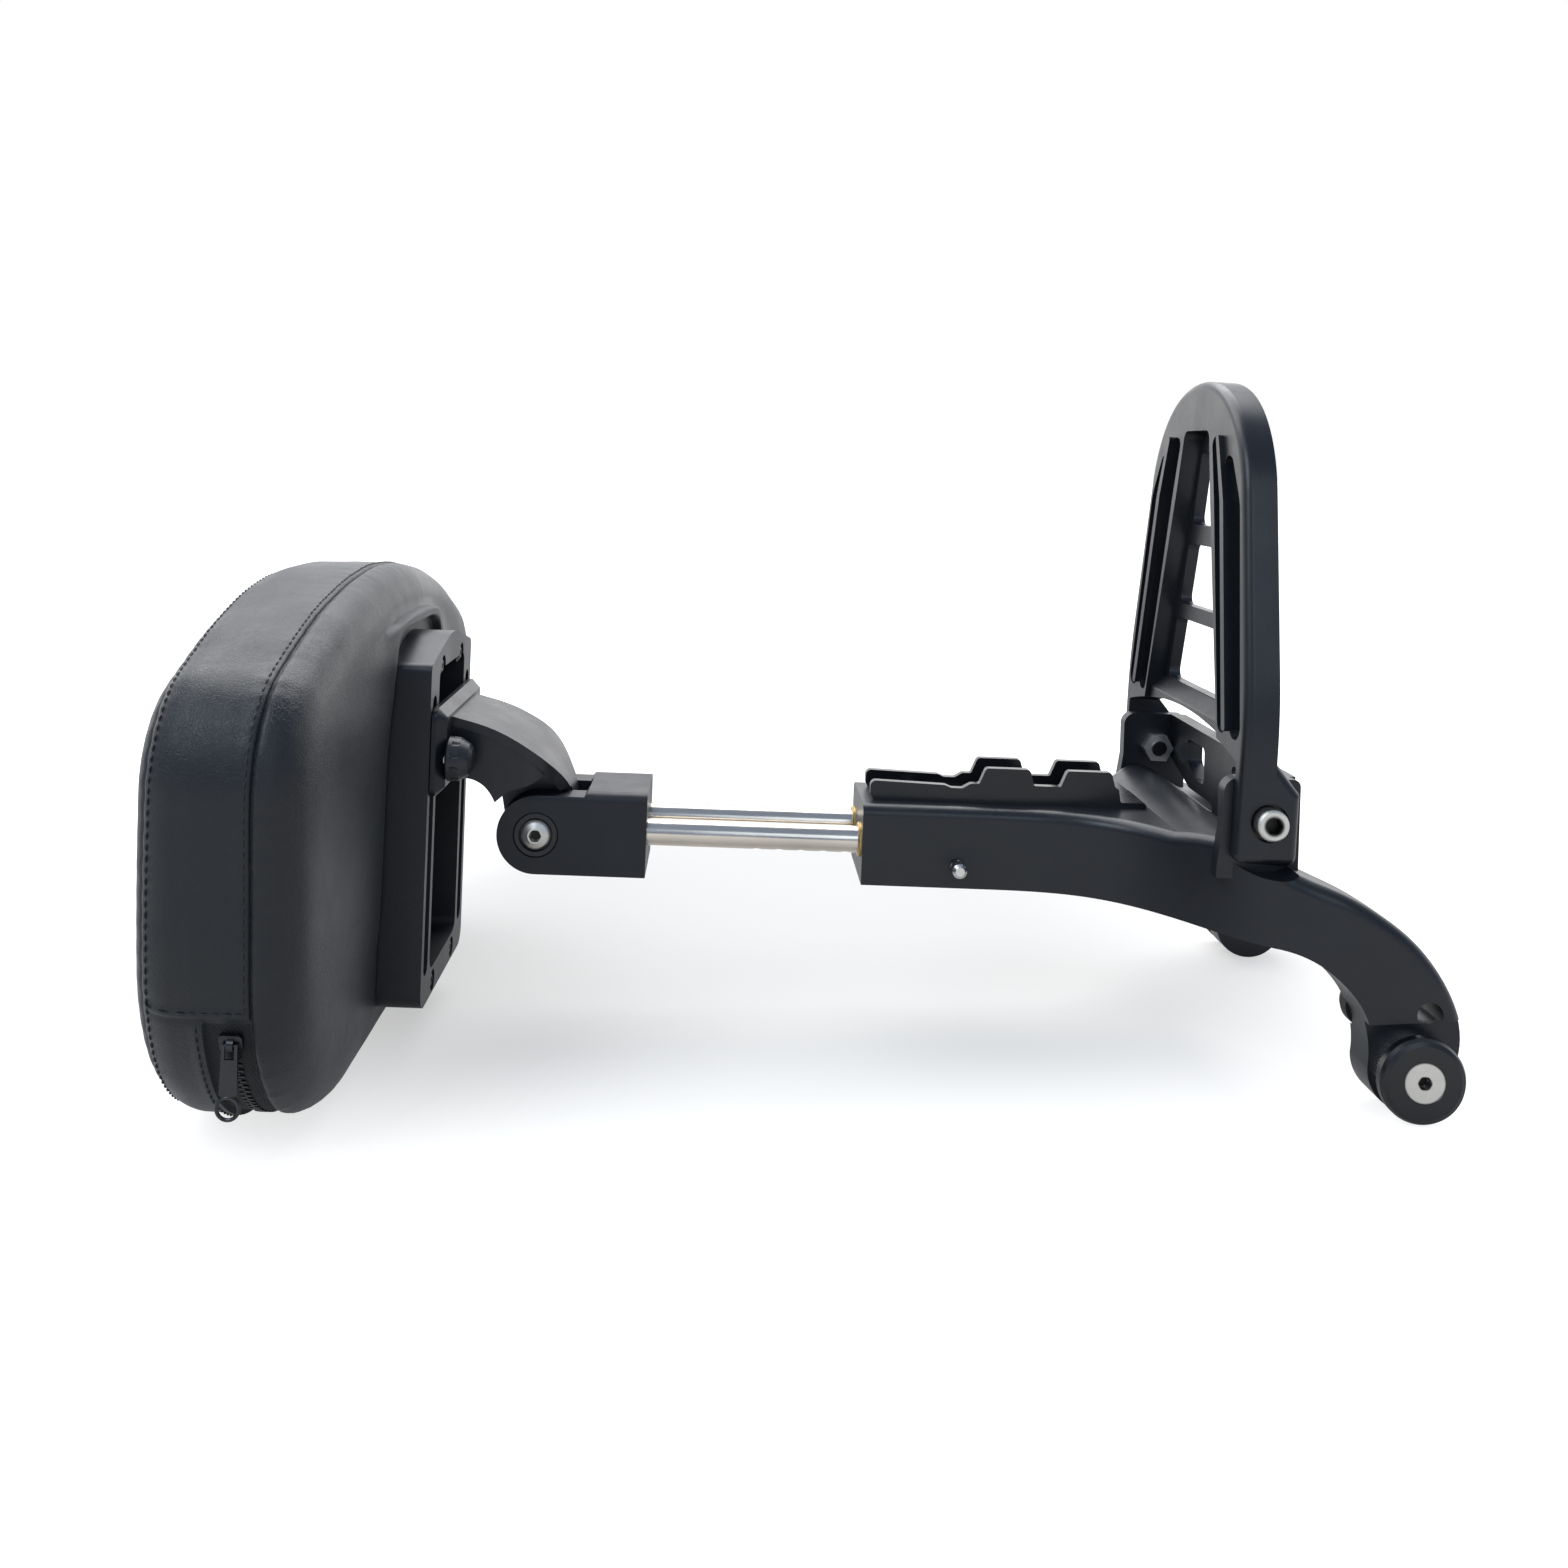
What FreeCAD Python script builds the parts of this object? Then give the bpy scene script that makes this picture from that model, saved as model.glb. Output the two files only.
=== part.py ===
import FreeCAD, Part
import math
import os
import re

V = FreeCAD.Vector
Rotation = FreeCAD.Rotation
Placement = FreeCAD.Placement

doc = FreeCAD.newDocument("driver_backrest")

# Driving sizes, millimetres and degrees.
# Design frame: x runs back along the rods, y to the far side, z up, z = 0 on the rods' axes.
SIZES = [
    # stance of the whole backrest on a level floor
    ("lean_angle", 2.1),
    ("shift_back", -42.1935),
    ("shift_up", 89.755),
    # rods
    ("rod_dia", 12.0),
    ("rod_spacing", 30.0),
    ("rod_front", -53.0),
    ("rod_rear", 158.0),
    ("rod_chamfer", 1.0),
    ("notch_pitch", 10.0),
    ("notch_count", 13),
    ("rod_fit", 0.05),
    # lock pin
    ("lock_dia", 6.5),
    ("lock_x", 110.0),
    ("lock_z", -8.4),
    ("lock_travel", 7.0),
    ("lock_proud", 8.0),
    ("lock_waist_dia", 3.0),
    ("lock_waist_length", 7.2),
    ("lock_fit", 0.08),
    # sleeve block
    ("block_front", 67.0),
    ("block_width", 50.0),
    ("block_top", 18.0),
    ("block_bottom", -17.9),
    ("block_round", 5.0),
    ("bush_dia", 15.5),
    ("bush_length", 22.0),
    ("bush_proud", 1.5),
    # legs
    ("leg_inner", 82.0),
    ("leg_outer", 102.0),
    ("foot_x", 281.0),
    ("foot_z", -62.5),
    ("tongue_radius", 17.0),
    ("tongue_outer", 97.0),
    ("recess_z", -42.0),
    ("foot_disc_dia", 34.0),
    ("foot_disc_thick", 6.0),
    ("foot_gap", 7.0),
    ("foot_gap_dia", 29.0),
    ("foot_screw_dia", 8.0),
    ("foot_head_dia", 16.0),
    ("spare_hole_dia", 10.5),
    ("spare_hole_x", 286.0),
    ("spare_hole_z", -39.0),
    ("bumper_dia", 18.0),
    ("bumper_height", 11.0),
    ("bumper_x", 270.0),
    ("bumper_z", -43.5),
    # hinge of the folding rack
    ("hinge_x", 225.8),
    ("hinge_z", 31.0),
    ("hinge_bolt_dia", 8.0),
    ("hinge_head_dia", 13.0),
    ("hinge_nut_flats", 13.0),
    ("ear_inner", 71.5),
    ("ear_thick", 7.0),
    ("ear_gap", 0.4),
    ("ear_top", 47.5),
    ("wall_x", 233.5),
    ("wall_thick", 7.5),
    ("wall_bottom", 17.0),
    ("wall_window_in", 18.6),
    ("wall_window_out", 38.0),
    # rest channel
    ("channel_front", 71.0),
    ("channel_rear", 197.0),
    ("rail_out", 13.5),
    ("rail_thick", 4.0),
    ("channel_floor", 2.5),
    ("lug_height", 7.3),
    ("lug_one", 120.6),
    ("lug_two", 157.8),
    ("lug_length", 25.0),
    # folding rack
    ("rack_lean", 1.8),
    ("rack_front", 12.7),
    ("rack_rear", 1.3),
    ("rack_recess", 8.7),
    ("rack_height", 183.5),
    ("rack_half_width", 86.5),
    ("rack_taper", 0.2151),
    ("rack_bend_z", 44.4),
    ("rack_bend_radius", 150.0),
    ("rack_shoulder_radius", 60.0),
    ("rack_top_radius", 84.0),
    ("rack_arch_side", 22.6),
    ("rack_arch_top", 32.0),
    ("groove_depth", 4.5),
    ("rib_proud", 2.2),
    ("lug_thick", 7.6),
    ("lug_rear", 12.4),
    ("lug_bottom", -17.6),
    ("rest_gap", 0.3),
    # clevis
    ("clevis_front_radius", 17.6),
    ("clevis_width", 48.0),
    ("clevis_rear", -30.0),
    ("clevis_step", -57.0),
    ("clevis_top", 18.5),
    ("ear_drop", 4.0),
    ("slot_width", 20.0),
    ("pivot_x", -79.7),
    ("pivot_z", -1.2),
    ("pivot_dia", 8.0),
    ("pivot_head_dia", 14.0),
    ("pivot_bush_dia", 20.4),
    ("pivot_bush_flange", 3.5),
    ("pivot_bush_hub", 13.0),
    ("setscrew_dia", 6.0),
    ("setscrew_x", -43.0),
    # arm
    ("arm_half_width", 29.0),
    ("arm_wall", 5.0),
    ("arm_lip", 2.0),
    ("arm_lip_thick", 4.0),
    ("tongue_side_gap", 0.3),
    ("arm_boss_radius", 15.5),
    ("plate_front", -123.7),
    ("plate_thick", 6.0),
    ("plate_top", 57.5),
    ("plate_bottom", 19.0),
    ("plate_half_width", 46.0),
    # clamp knobs
    ("knob_x", -117.4),
    ("knob_length", 11.0),
    ("knob_dia", 19.6),
    ("stud_y", 39.0),
    ("stud_z", 35.0),
    ("stud_dia", 8.0),
    ("stud_head", 12.4),
    ("stud_head_thick", 5.0),
    # pad frame
    ("frame_front", -143.0),
    ("frame_rear", -124.0),
    ("frame_half_width", 48.0),
    ("frame_top", 76.5),
    ("frame_arch", 9.0),
    ("frame_bottom", -74.0),
    ("frame_wall", 3.2),
    ("rail_inner", 30.0),
    ("opening_top", 72.5),
    ("opening_bottom", -62.0),
    ("slot_top", 58.0),
    ("slot_bottom", -56.0),
    ("stud_slot_fit", 0.4),
    ("frame_screw_dia", 5.0),
    ("frame_screw_head", 9.0),
    # pad
    ("pad_peak", 135.1),
    ("pad_peak_radius", 370.0),
    ("pad_shoulder_y", 175.5),
    ("pad_shoulder_z", 77.2),
    ("pad_shoulder_radius", 42.0),
    ("pad_foot_y", 157.0),
    ("pad_bottom", -95.5),
    ("pad_foot_radius", 85.0),
    ("pad_front", -213.0),
    ("pad_crown_radius", 1900.0),
    ("pad_front_round", 18.0),
    ("pad_seam_front", -198.0),
    ("pad_seam_back", -160.0),
    ("pad_back", -143.0),
    # zip
    ("zip_x", -168.0),
    ("zip_z", -42.0),
    ("zip_pull_length", 27.0),
]

sheet = doc.addObject("Spreadsheet::Sheet", "dims")
for row, (alias, number) in enumerate(SIZES, start=1):
    sheet.set("A%d" % row, alias)
    sheet.set("B%d" % row, str(number))
    sheet.setAlias("B%d" % row, alias)
doc.recompute()


class Sizes:
    pass


d = Sizes()
for alias, _ in SIZES:
    setattr(d, alias, float(sheet.get(alias)))

ALIASES = sorted((alias for alias, _ in SIZES), key=len, reverse=True)
ALIAS_PATTERN = re.compile(r"\b(" + "|".join(ALIASES) + r")\b")


def formula(text):
    return ALIAS_PATTERN.sub(lambda found: "dims." + found.group(1), str(text))


def bind(obj, prop, text):
    obj.setExpression(prop, formula(text))


PLANES = {
    "xy": Rotation(0, 0, 0, 1),
    "xz": Rotation(V(1, 0, 0), 90),
    "yz": Rotation(V(1, 1, 1), 120),
}
AXES = {
    "x": Rotation(V(0, 1, 0), 90),
    "y": Rotation(V(1, 0, 0), -90),
    "z": Rotation(0, 0, 0, 1),
}


def move_to(obj, base):
    for letter, text in zip("xyz", base):
        bind(obj, "Placement.Base." + letter, text)


def box(name, corner, size):
    obj = doc.addObject("Part::Box", name)
    bind(obj, "Length", size[0])
    bind(obj, "Width", size[1])
    bind(obj, "Height", size[2])
    move_to(obj, corner)
    return obj


def cylinder(name, radius, height, base, axis):
    obj = doc.addObject("Part::Cylinder", name)
    bind(obj, "Radius", radius)
    bind(obj, "Height", height)
    obj.Placement = Placement(V(0, 0, 0), AXES[axis])
    move_to(obj, base)
    return obj


def cone(name, radius_one, radius_two, height, base, axis):
    obj = doc.addObject("Part::Cone", name)
    bind(obj, "Radius1", radius_one)
    bind(obj, "Radius2", radius_two)
    bind(obj, "Height", height)
    obj.Placement = Placement(V(0, 0, 0), AXES[axis])
    move_to(obj, base)
    return obj


def rounded(points):
    """Closed outline with each corner's own radius, as lines and arcs."""
    corners = []
    count = len(points)
    for index in range(count):
        here = points[index]
        radius = here[2] if len(here) > 2 else 0.0
        point = V(here[0], here[1], 0)
        before = V(points[index - 1][0], points[index - 1][1], 0)
        after = V(points[(index + 1) % count][0], points[(index + 1) % count][1], 0)
        if radius <= 0:
            corners.append((point, None, point))
            continue
        back = (before - point).normalize()
        ahead = (after - point).normalize()
        half = back.getAngle(ahead) / 2
        reach = radius / math.tan(half)
        middle = (back + ahead).normalize()
        centre = point + middle * (radius / math.sin(half))
        corners.append((point + back * reach, centre - middle * radius, point + ahead * reach))
    edges = []
    for index in range(count):
        start, middle, end = corners[index]
        if middle is not None:
            edges.append(Part.Arc(start, middle, end))
        following = corners[(index + 1) % count][0]
        if (following - end).Length > 1e-6:
            edges.append(Part.LineSegment(end, following))
    return edges


def curve(points):
    spline = Part.BSplineCurve()
    spline.interpolate([V(point[0], point[1], 0) for point in points])
    return spline


def line(start, end):
    return Part.LineSegment(V(start[0], start[1], 0), V(end[0], end[1], 0))


def sketch(name, plane, edges, base=("0", "0", "0")):
    obj = doc.addObject("Sketcher::SketchObject", name)
    obj.Placement = Placement(V(0, 0, 0), PLANES[plane])
    move_to(obj, base)
    obj.addGeometry(edges, False)
    return obj


NORMALS = {"xy": V(0, 0, 1), "xz": V(0, 1, 0), "yz": V(1, 0, 0)}


def extrude(name, plane, edges, start, length):
    """A prism of the outline, from start along the plane's normal."""
    offsets = {"xy": ("0", "0", start), "xz": ("0", start, "0"), "yz": (start, "0", "0")}
    profile = sketch(name + "_outline", plane, edges, offsets[plane])
    obj = doc.addObject("Part::Extrusion", name)
    obj.Base = profile
    obj.DirMode = "Custom"
    obj.Dir = NORMALS[plane]
    obj.Solid = True
    bind(obj, "LengthFwd", length)
    return obj


def revolve(name, plane, edges, centre, axis, base=("0", "0", "0")):
    profile = sketch(name + "_outline", plane, edges, base)
    obj = doc.addObject("Part::Revolution", name)
    obj.Source = profile
    obj.Base = centre
    obj.Axis = axis
    obj.Angle = 360.0
    obj.Solid = True
    return obj


def fuse(name, parts):
    obj = doc.addObject("Part::MultiFuse", name)
    obj.Shapes = parts
    obj.Refine = True
    return obj


def cut(name, base, tools):
    if len(tools) > 1:
        group = doc.addObject("Part::MultiFuse", name + "_tools")
        group.Shapes = tools
        tool = group
    else:
        tool = tools[0]
    obj = doc.addObject("Part::Cut", name)
    obj.Base = base
    obj.Tool = tool
    obj.Refine = True
    return obj


def common(name, one, two):
    obj = doc.addObject("Part::MultiCommon", name)
    obj.Shapes = [one, two]
    obj.Refine = True
    return obj


def mirror(name, source):
    obj = doc.addObject("Part::Mirroring", name)
    obj.Source = source
    obj.Normal = V(0, 1, 0)
    return obj


def edges_where(obj, test):
    """Numbers of the edges whose middle point passes the test."""
    found = []
    for number, edge in enumerate(obj.Shape.Edges, start=1):
        middle = edge.valueAt((edge.FirstParameter + edge.LastParameter) / 2)
        if test(edge, middle):
            found.append(number)
    return found


def fillet(name, base, test, radius, kind="Part::Fillet"):
    doc.recompute()
    obj = doc.addObject(kind, name)
    obj.Base = base
    obj.Edges = [(number, radius, radius) for number in edges_where(base, test)]
    return obj


def chamfer(name, base, test, size):
    return fillet(name, base, test, size, "Part::Chamfer")


LEAN = Rotation(V(0, 1, 0), d.lean_angle)
STANCE = Placement(V(d.shift_back, 0, d.shift_up), LEAN)
nodes = {}


def keep(obj, node):
    """The finished piece, stood on the floor with the others."""
    obj.Label = node
    obj.Placement = STANCE.multiply(obj.Placement)
    nodes[node] = obj
    return obj


def origin_plane(body, role):
    for feature in body.Origin.OriginFeatures:
        if feature.Role == role:
            return feature
    return None


def body_sketch(body, name, role, edges, offset=None):
    obj = body.newObject("Sketcher::SketchObject", name)
    obj.AttachmentSupport = [(origin_plane(body, role), "")]
    obj.MapMode = "FlatFace"
    if offset is not None:
        obj.AttachmentOffset = offset
    obj.addGeometry(edges, False)
    return obj


def circle(x, y, radius):
    return Part.Circle(V(x, y, 0), V(0, 0, 1), radius)


def hexagon(x, y, flats):
    radius = flats / math.sqrt(3)
    corners = []
    for step in range(6):
        angle = math.radians(60 * step)
        corners.append((x + radius * math.cos(angle), y + radius * math.sin(angle)))
    return rounded(corners)


def level(x, z):
    """The design frame's point as it stands on the floor."""
    return STANCE.multVec(V(x, 0, z))


SIDES = (("near", -1), ("far", 1))
half_spacing = d.rod_spacing / 2

# Rods: stainless bars with a row of lock notches under the near one.
for side, sign in SIDES:
    radius = d.rod_dia / 2
    bevel = d.rod_chamfer
    half_outline = rounded([
        (d.rod_front, 0),
        (d.rod_front, radius - bevel),
        (d.rod_front + bevel, radius),
        (d.rod_rear - bevel, radius),
        (d.rod_rear, radius - bevel),
        (d.rod_rear, 0),
    ])
    place = ("0", "%d * rod_spacing / 2" % sign, "0")
    bar = revolve("rod_%s_bar" % side, "xz", half_outline, V(0, sign * half_spacing, 0), V(1, 0, 0), place)
    if side == "far":
        keep(bar, "rod_far")
        continue
    notches = []
    for step in range(int(d.notch_count)):
        notches.append(cylinder(
            "rod_notch_%d" % step,
            "lock_dia / 2 + 2 * lock_fit",
            "rod_dia + 2",
            ("lock_x + notch_pitch * (%d)" % (3 - step), "-rod_spacing / 2 - rod_dia / 2 - 1", "lock_z"),
            "y",
        ))
    keep(cut("rod_near_cut", bar, notches), "rod_near")

# Lock pin: a push pin with a waist that frees the near rod when pressed in.
pin_radius = d.lock_dia / 2
waist_radius = d.lock_waist_dia / 2
block_half = d.block_width / 2
pin_head = -block_half - d.lock_proud
waist_end = -half_spacing - math.sqrt((d.rod_dia / 2) ** 2 - (d.lock_z + pin_radius) ** 2) - 0.15
waist_start = waist_end - d.lock_waist_length
pin_tail = -half_spacing + 10.0
pin_outline = rounded([
    (pin_head, 0),
    (pin_head, pin_radius - 1.2),
    (pin_head + 1.2, pin_radius),
    (waist_start - 1.0, pin_radius),
    (waist_start, waist_radius),
    (waist_end, waist_radius),
    (waist_end, pin_radius),
    (pin_tail - 0.5, pin_radius),
    (pin_tail, pin_radius - 0.5),
    (pin_tail, 0),
])
pin_base = ("lock_x", "0", "lock_z")
pin = revolve("lock_pin_turned", "yz", pin_outline, V(d.lock_x, 0, d.lock_z), V(0, 1, 0), pin_base)
keep(pin, "lock_pin")

# Lock spring, drawn at its pressed length behind the pin.
spring_start = pin_tail + d.lock_travel + 0.3
spring_radius = pin_radius - 0.75
wire_radius = 0.45
turns = 4
pitch = 1.6
helix = Part.makeHelix(pitch, pitch * turns, spring_radius)
helix_wire = Part.Wire(helix.Edges)
wire_corners = [
    V(spring_radius - wire_radius, 0, -wire_radius),
    V(spring_radius + wire_radius, 0, -wire_radius),
    V(spring_radius + wire_radius, 0, wire_radius),
    V(spring_radius - wire_radius, 0, wire_radius),
]
section = Part.makePolygon(wire_corners + wire_corners[:1])
spring_shape = helix_wire.makePipeShell([section], True, True)
spring = doc.addObject("Part::Feature", "lock_spring_coil")
turn = Placement(V(d.lock_x, spring_start + wire_radius, d.lock_z), AXES["y"])
spring.Shape = spring_shape.transformed(turn.toMatrix())
keep(spring, "lock_spring")
spring_end = spring_start + pitch * turns + 2 * wire_radius

# Base casting: a sleeve block that flares into two legs, with a bridge and ears for the rack.
foot_low = d.foot_z - d.tongue_radius
side_top = [
    (199.0, d.block_top),
    (208.0, 20.3),
    (217.0, 20.8),
    (225.0, 18.6),
    (233.0, 13.6),
    (241.0, 10.2),
    (252.0, 6.5),
    (268.0, -1.8),
    (280.0, -10.8),
    (288.0, -19.6),
    (295.0, -30.5),
    (299.5, -42.0),
    (d.foot_x + d.tongue_radius, d.foot_z),
]
side_low = [
    (d.foot_x - d.tongue_radius, d.foot_z),
    (262.8, -46.0),
    (259.1, -37.0),
    (251.0, -27.5),
    (242.4, -21.3),
    (230.0, d.block_bottom),
]
top_run = curve(side_top)
low_run = curve(side_low)
side_edges = [
    line((d.block_front, d.block_bottom), (d.block_front, d.block_top)),
    line((d.block_front, d.block_top), side_top[0]),
    top_run,
    Part.Arc(
        V(d.foot_x + d.tongue_radius, d.foot_z, 0),
        V(d.foot_x, d.foot_z - d.tongue_radius, 0),
        V(d.foot_x - d.tongue_radius, d.foot_z, 0),
    ),
    low_run,
    line(side_low[-1], (d.block_front, d.block_bottom)),
]
side_prism = extrude("base_side", "xz", side_edges, "-leg_outer - 2", "2 * leg_outer + 4")

leg_end_x = d.foot_x + d.tongue_radius + 6
outer_run = [
    (126.0, block_half),
    (150.0, block_half + 1.6),
    (165.0, 30.5),
    (178.0, 37.5),
    (190.0, 48.0),
    (201.0, 61.0),
    (211.0, 74.5),
    (221.0, 86.0),
    (232.0, 94.5),
    (244.0, 99.5),
    (258.0, d.leg_outer - 0.3),
    (272.0, d.leg_outer),
]
inner_run = [
    (278.0, d.leg_inner),
    (266.0, d.leg_inner - 1.0),
    (255.0, 77.5),
    (245.5, 69.5),
    (239.5, 58.0),
    (237.0, 44.0),
    (236.5, 28.0),
    (236.5, 12.0),
]


def flip(points):
    return [(point[0], -point[1]) for point in reversed(points)]


plan_edges = [
    line((d.block_front, -block_half), (d.block_front, block_half)),
    line((d.block_front, block_half), outer_run[0]),
    curve(outer_run),
    line(outer_run[-1], (leg_end_x, d.leg_outer)),
    line((leg_end_x, d.leg_outer), (leg_end_x, d.leg_inner)),
    line((leg_end_x, d.leg_inner), inner_run[0]),
    curve(inner_run),
    line(inner_run[-1], (inner_run[-1][0], -inner_run[-1][1])),
    curve(flip(inner_run)),
    line((inner_run[0][0], -d.leg_inner), (leg_end_x, -d.leg_inner)),
    line((leg_end_x, -d.leg_inner), (leg_end_x, -d.leg_outer)),
    line((leg_end_x, -d.leg_outer), (outer_run[-1][0], -d.leg_outer)),
    curve(flip(outer_run)),
    line((outer_run[0][0], -block_half), (d.block_front, -block_half)),
]
plan_prism = extrude("base_plan", "xy", plan_edges, "foot_z - tongue_radius - 5", "130")
base_raw = common("base_raw", side_prism, plan_prism)
doc.recompute()


def long_top_edge(edge, middle):
    size = edge.BoundBox
    top_line = 17.5 - 0.65 * max(0.0, middle.x - 215.0)
    flat_run = size.XLength > 5 and size.ZLength < 2.2 * size.XLength
    return abs(middle.y) > 20 and middle.z > top_line and flat_run


ears_and_wall = []
for side, sign in SIDES:
    low_y = "ear_inner" if sign > 0 else "-ear_inner - ear_thick"
    ear_outline = rounded([
        (207.5, 12.0, 3),
        (209.5, 26.0, 6),
        (209.5, d.ear_top, 6),
        (d.wall_x + d.wall_thick, d.ear_top, 3),
        (d.wall_x + d.wall_thick, 6.0),
        (207.5, 6.0),
    ])
    ears_and_wall.append(extrude("hinge_ear_%s" % side, "xz", ear_outline, low_y, "ear_thick"))

wall_outline = rounded([
    (-d.ear_inner - 1, d.ear_top),
    (-d.ear_inner - 1, 27.0),
    (-40.0, d.wall_bottom, 10),
    (-6.0, d.wall_bottom, 3),
    (-4.0, 8.0),
    (4.0, 8.0),
    (6.0, d.wall_bottom, 3),
    (40.0, d.wall_bottom, 10),
    (d.ear_inner + 1, 27.0),
    (d.ear_inner + 1, d.ear_top),
])
wall = extrude("hinge_wall", "yz", wall_outline, "wall_x", "wall_thick")
windows = []
for side, sign in SIDES:
    window_outline = rounded([
        (sign * d.wall_window_in, 40.5, 3),
        (sign * d.wall_window_in, 23.0, 3),
        (sign * (d.wall_window_out - 6), 23.0, 5),
        (sign * (d.wall_window_out + 6), 29.0, 4),
        (sign * (d.wall_window_out + 6), 40.5, 3),
    ])
    windows.append(extrude("wall_window_%s" % side, "yz", window_outline, "wall_x - 2", "wall_thick + 4"))
wall_open = cut("hinge_wall_open", wall, windows)
ears_and_wall.append(wall_open)

base_body = fillet("base_softened", base_raw, long_top_edge, d.block_round)
base_joined = fuse("base_joined", [base_body] + ears_and_wall)

base_cuts = []
for side, sign in SIDES:
    place_y = "%d * rod_spacing / 2" % sign
    base_cuts.append(cylinder(
        "rod_bore_%s" % side, "rod_dia / 2 + rod_fit", "200", ("block_front - 5", place_y, "0"), "x"))
    base_cuts.append(cylinder(
        "bush_bore_%s" % side, "bush_dia / 2", "bush_length + 5", ("block_front - 5", place_y, "0"), "x"))
    ear_y = "ear_inner - 1" if sign > 0 else "-ear_inner - ear_thick - 1"
    base_cuts.append(cylinder(
        "ear_bore_%s" % side, "hinge_bolt_dia / 2 + 0.1", "ear_thick + 2", ("hinge_x", ear_y, "hinge_z"), "y"))
    relief_y = "ear_inner + ear_thick" if sign > 0 else "-leg_outer - 4"
    base_cuts.append(cylinder(
        "lug_relief_%s" % side, "21.9", "leg_outer + 4 - ear_inner - ear_thick", ("hinge_x", relief_y, "hinge_z"), "y"))
    leg_y = "leg_inner - 2" if sign > 0 else "-leg_outer - 2"
    leg_span = "leg_outer - leg_inner + 4"
    base_cuts.append(cylinder(
        "foot_bore_%s" % side, "foot_screw_dia / 2 + 0.1", leg_span, ("foot_x", leg_y, "foot_z"), "y"))
    base_cuts.append(cylinder(
        "spare_bore_%s" % side, "spare_hole_dia / 2", leg_span, ("spare_hole_x", leg_y, "spare_hole_z"), "y"))
    face_y = "leg_inner - 14" if sign > 0 else "-leg_inner"
    base_cuts.append(cylinder(
        "bumper_face_%s" % side, "bumper_dia / 2 + 0.4", "14", ("bumper_x", face_y, "bumper_z"), "y"))
    base_cuts.append(cylinder(
        "nut_face_%s" % side, "foot_head_dia / 2 + 0.4", "14", ("foot_x", face_y, "foot_z"), "y"))
    recess_outline = rounded([
        (d.foot_x - d.tongue_radius - 12, d.recess_z - 2.2, 0),
        (d.foot_x + d.tongue_radius + 12, d.recess_z + 2.2, 0),
        (d.foot_x + d.tongue_radius + 12, foot_low - 5, 0),
        (d.foot_x - d.tongue_radius - 12, foot_low - 5, 0),
    ])
    recess_y = "tongue_outer" if sign > 0 else "-leg_outer - 3"
    base_cuts.append(extrude(
        "foot_recess_%s" % side, "xz", recess_outline, recess_y, "leg_outer - tongue_outer + 3"))
base_cuts.append(cylinder(
    "lock_bore", "lock_dia / 2 + lock_fit", str(spring_end + 0.3 + block_half + 5),
    ("lock_x", "-block_width / 2 - 5", "lock_z"), "y"))
for number, place in (("one", "channel_front + 22"), ("two", "channel_rear - 22")):
    base_cuts.append(cylinder(
        "channel_tap_%s" % number, "2.5", "9", (place, "0", "block_top - 8.5"), "z"))
base_cut = cut("base_bored", base_joined, base_cuts)
keep(base_cut, "base_frame")

# Bronze bushes pressed in the mouth of the block.
for side, sign in SIDES:
    inner = d.rod_dia / 2 + d.rod_fit
    outer = d.bush_dia / 2
    front = d.block_front - d.bush_proud
    ring_outline = rounded([
        (front, inner),
        (front, outer - 0.6),
        (front + 0.6, outer),
        (d.block_front + d.bush_length, outer),
        (d.block_front + d.bush_length, inner),
    ])
    place = ("0", "%d * rod_spacing / 2" % sign, "0")
    bush = revolve("rod_bush_%s_ring" % side, "xz", ring_outline, V(0, sign * half_spacing, 0), V(1, 0, 0), place)
    keep(bush, "rod_bush_%s" % side)

# Rest channel: a moulded track on the block that carries the folded rack's cross bars.
rack_web = d.rack_front - d.rack_recess
rail_top = d.hinge_z - rack_web - d.rest_gap
channel = box(
    "channel_blank",
    ("channel_front", "-rail_out", "block_top"),
    ("channel_rear - channel_front", "2 * rail_out", str(rail_top + d.lug_height - d.block_top)),
)
channel_side = rounded([
    (d.channel_front + 1.5, d.block_top),
    (d.channel_front, d.block_top + 2.5, 1),
    (d.channel_front, rail_top, 2.5),
    (d.channel_front + 34, rail_top - 1.0, 3),
    (d.channel_front + 37, rail_top - 2.2, 1.5),
    (d.channel_front + 42, rail_top - 2.2, 1.5),
    (d.lug_one - 4, rail_top, 3),
    (d.lug_one, rail_top, 1.2),
    (d.lug_one + 3, rail_top + d.lug_height, 2),
    (d.lug_one + d.lug_length - 2, rail_top + d.lug_height, 2),
    (d.lug_one + d.lug_length, rail_top, 1.2),
    (d.lug_two, rail_top, 1.2),
    (d.lug_two + 3, rail_top + d.lug_height, 2),
    (d.lug_two + d.lug_length - 2, rail_top + d.lug_height, 2),
    (d.lug_two + d.lug_length, rail_top, 1.2),
    (d.lug_two + d.lug_length + 1.5, rail_top, 0.6),
    (d.lug_two + d.lug_length + 2.5, d.block_top + d.channel_floor, 0.6),
    (d.channel_rear, d.block_top + d.channel_floor, 1.0),
    (d.channel_rear, d.block_top),
])
channel_form = extrude("channel_form", "xz", channel_side, "-rail_out", "2 * rail_out")
channel_body = common("channel_body", channel, channel_form)
trough = box(
    "channel_trough",
    ("channel_front - 1", "-rail_out + rail_thick", "block_top + channel_floor"),
    ("channel_rear - channel_front - 7", "2 * (rail_out - rail_thick)", "40"),
)
channel_cuts = [trough]
for number, place in (("one", "channel_front + 22"), ("two", "channel_rear - 22")):
    channel_cuts.append(cylinder(
        "channel_hole_%s" % number, "2.6", "channel_floor + 4", (place, "0", "block_top - 2"), "z"))
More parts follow.
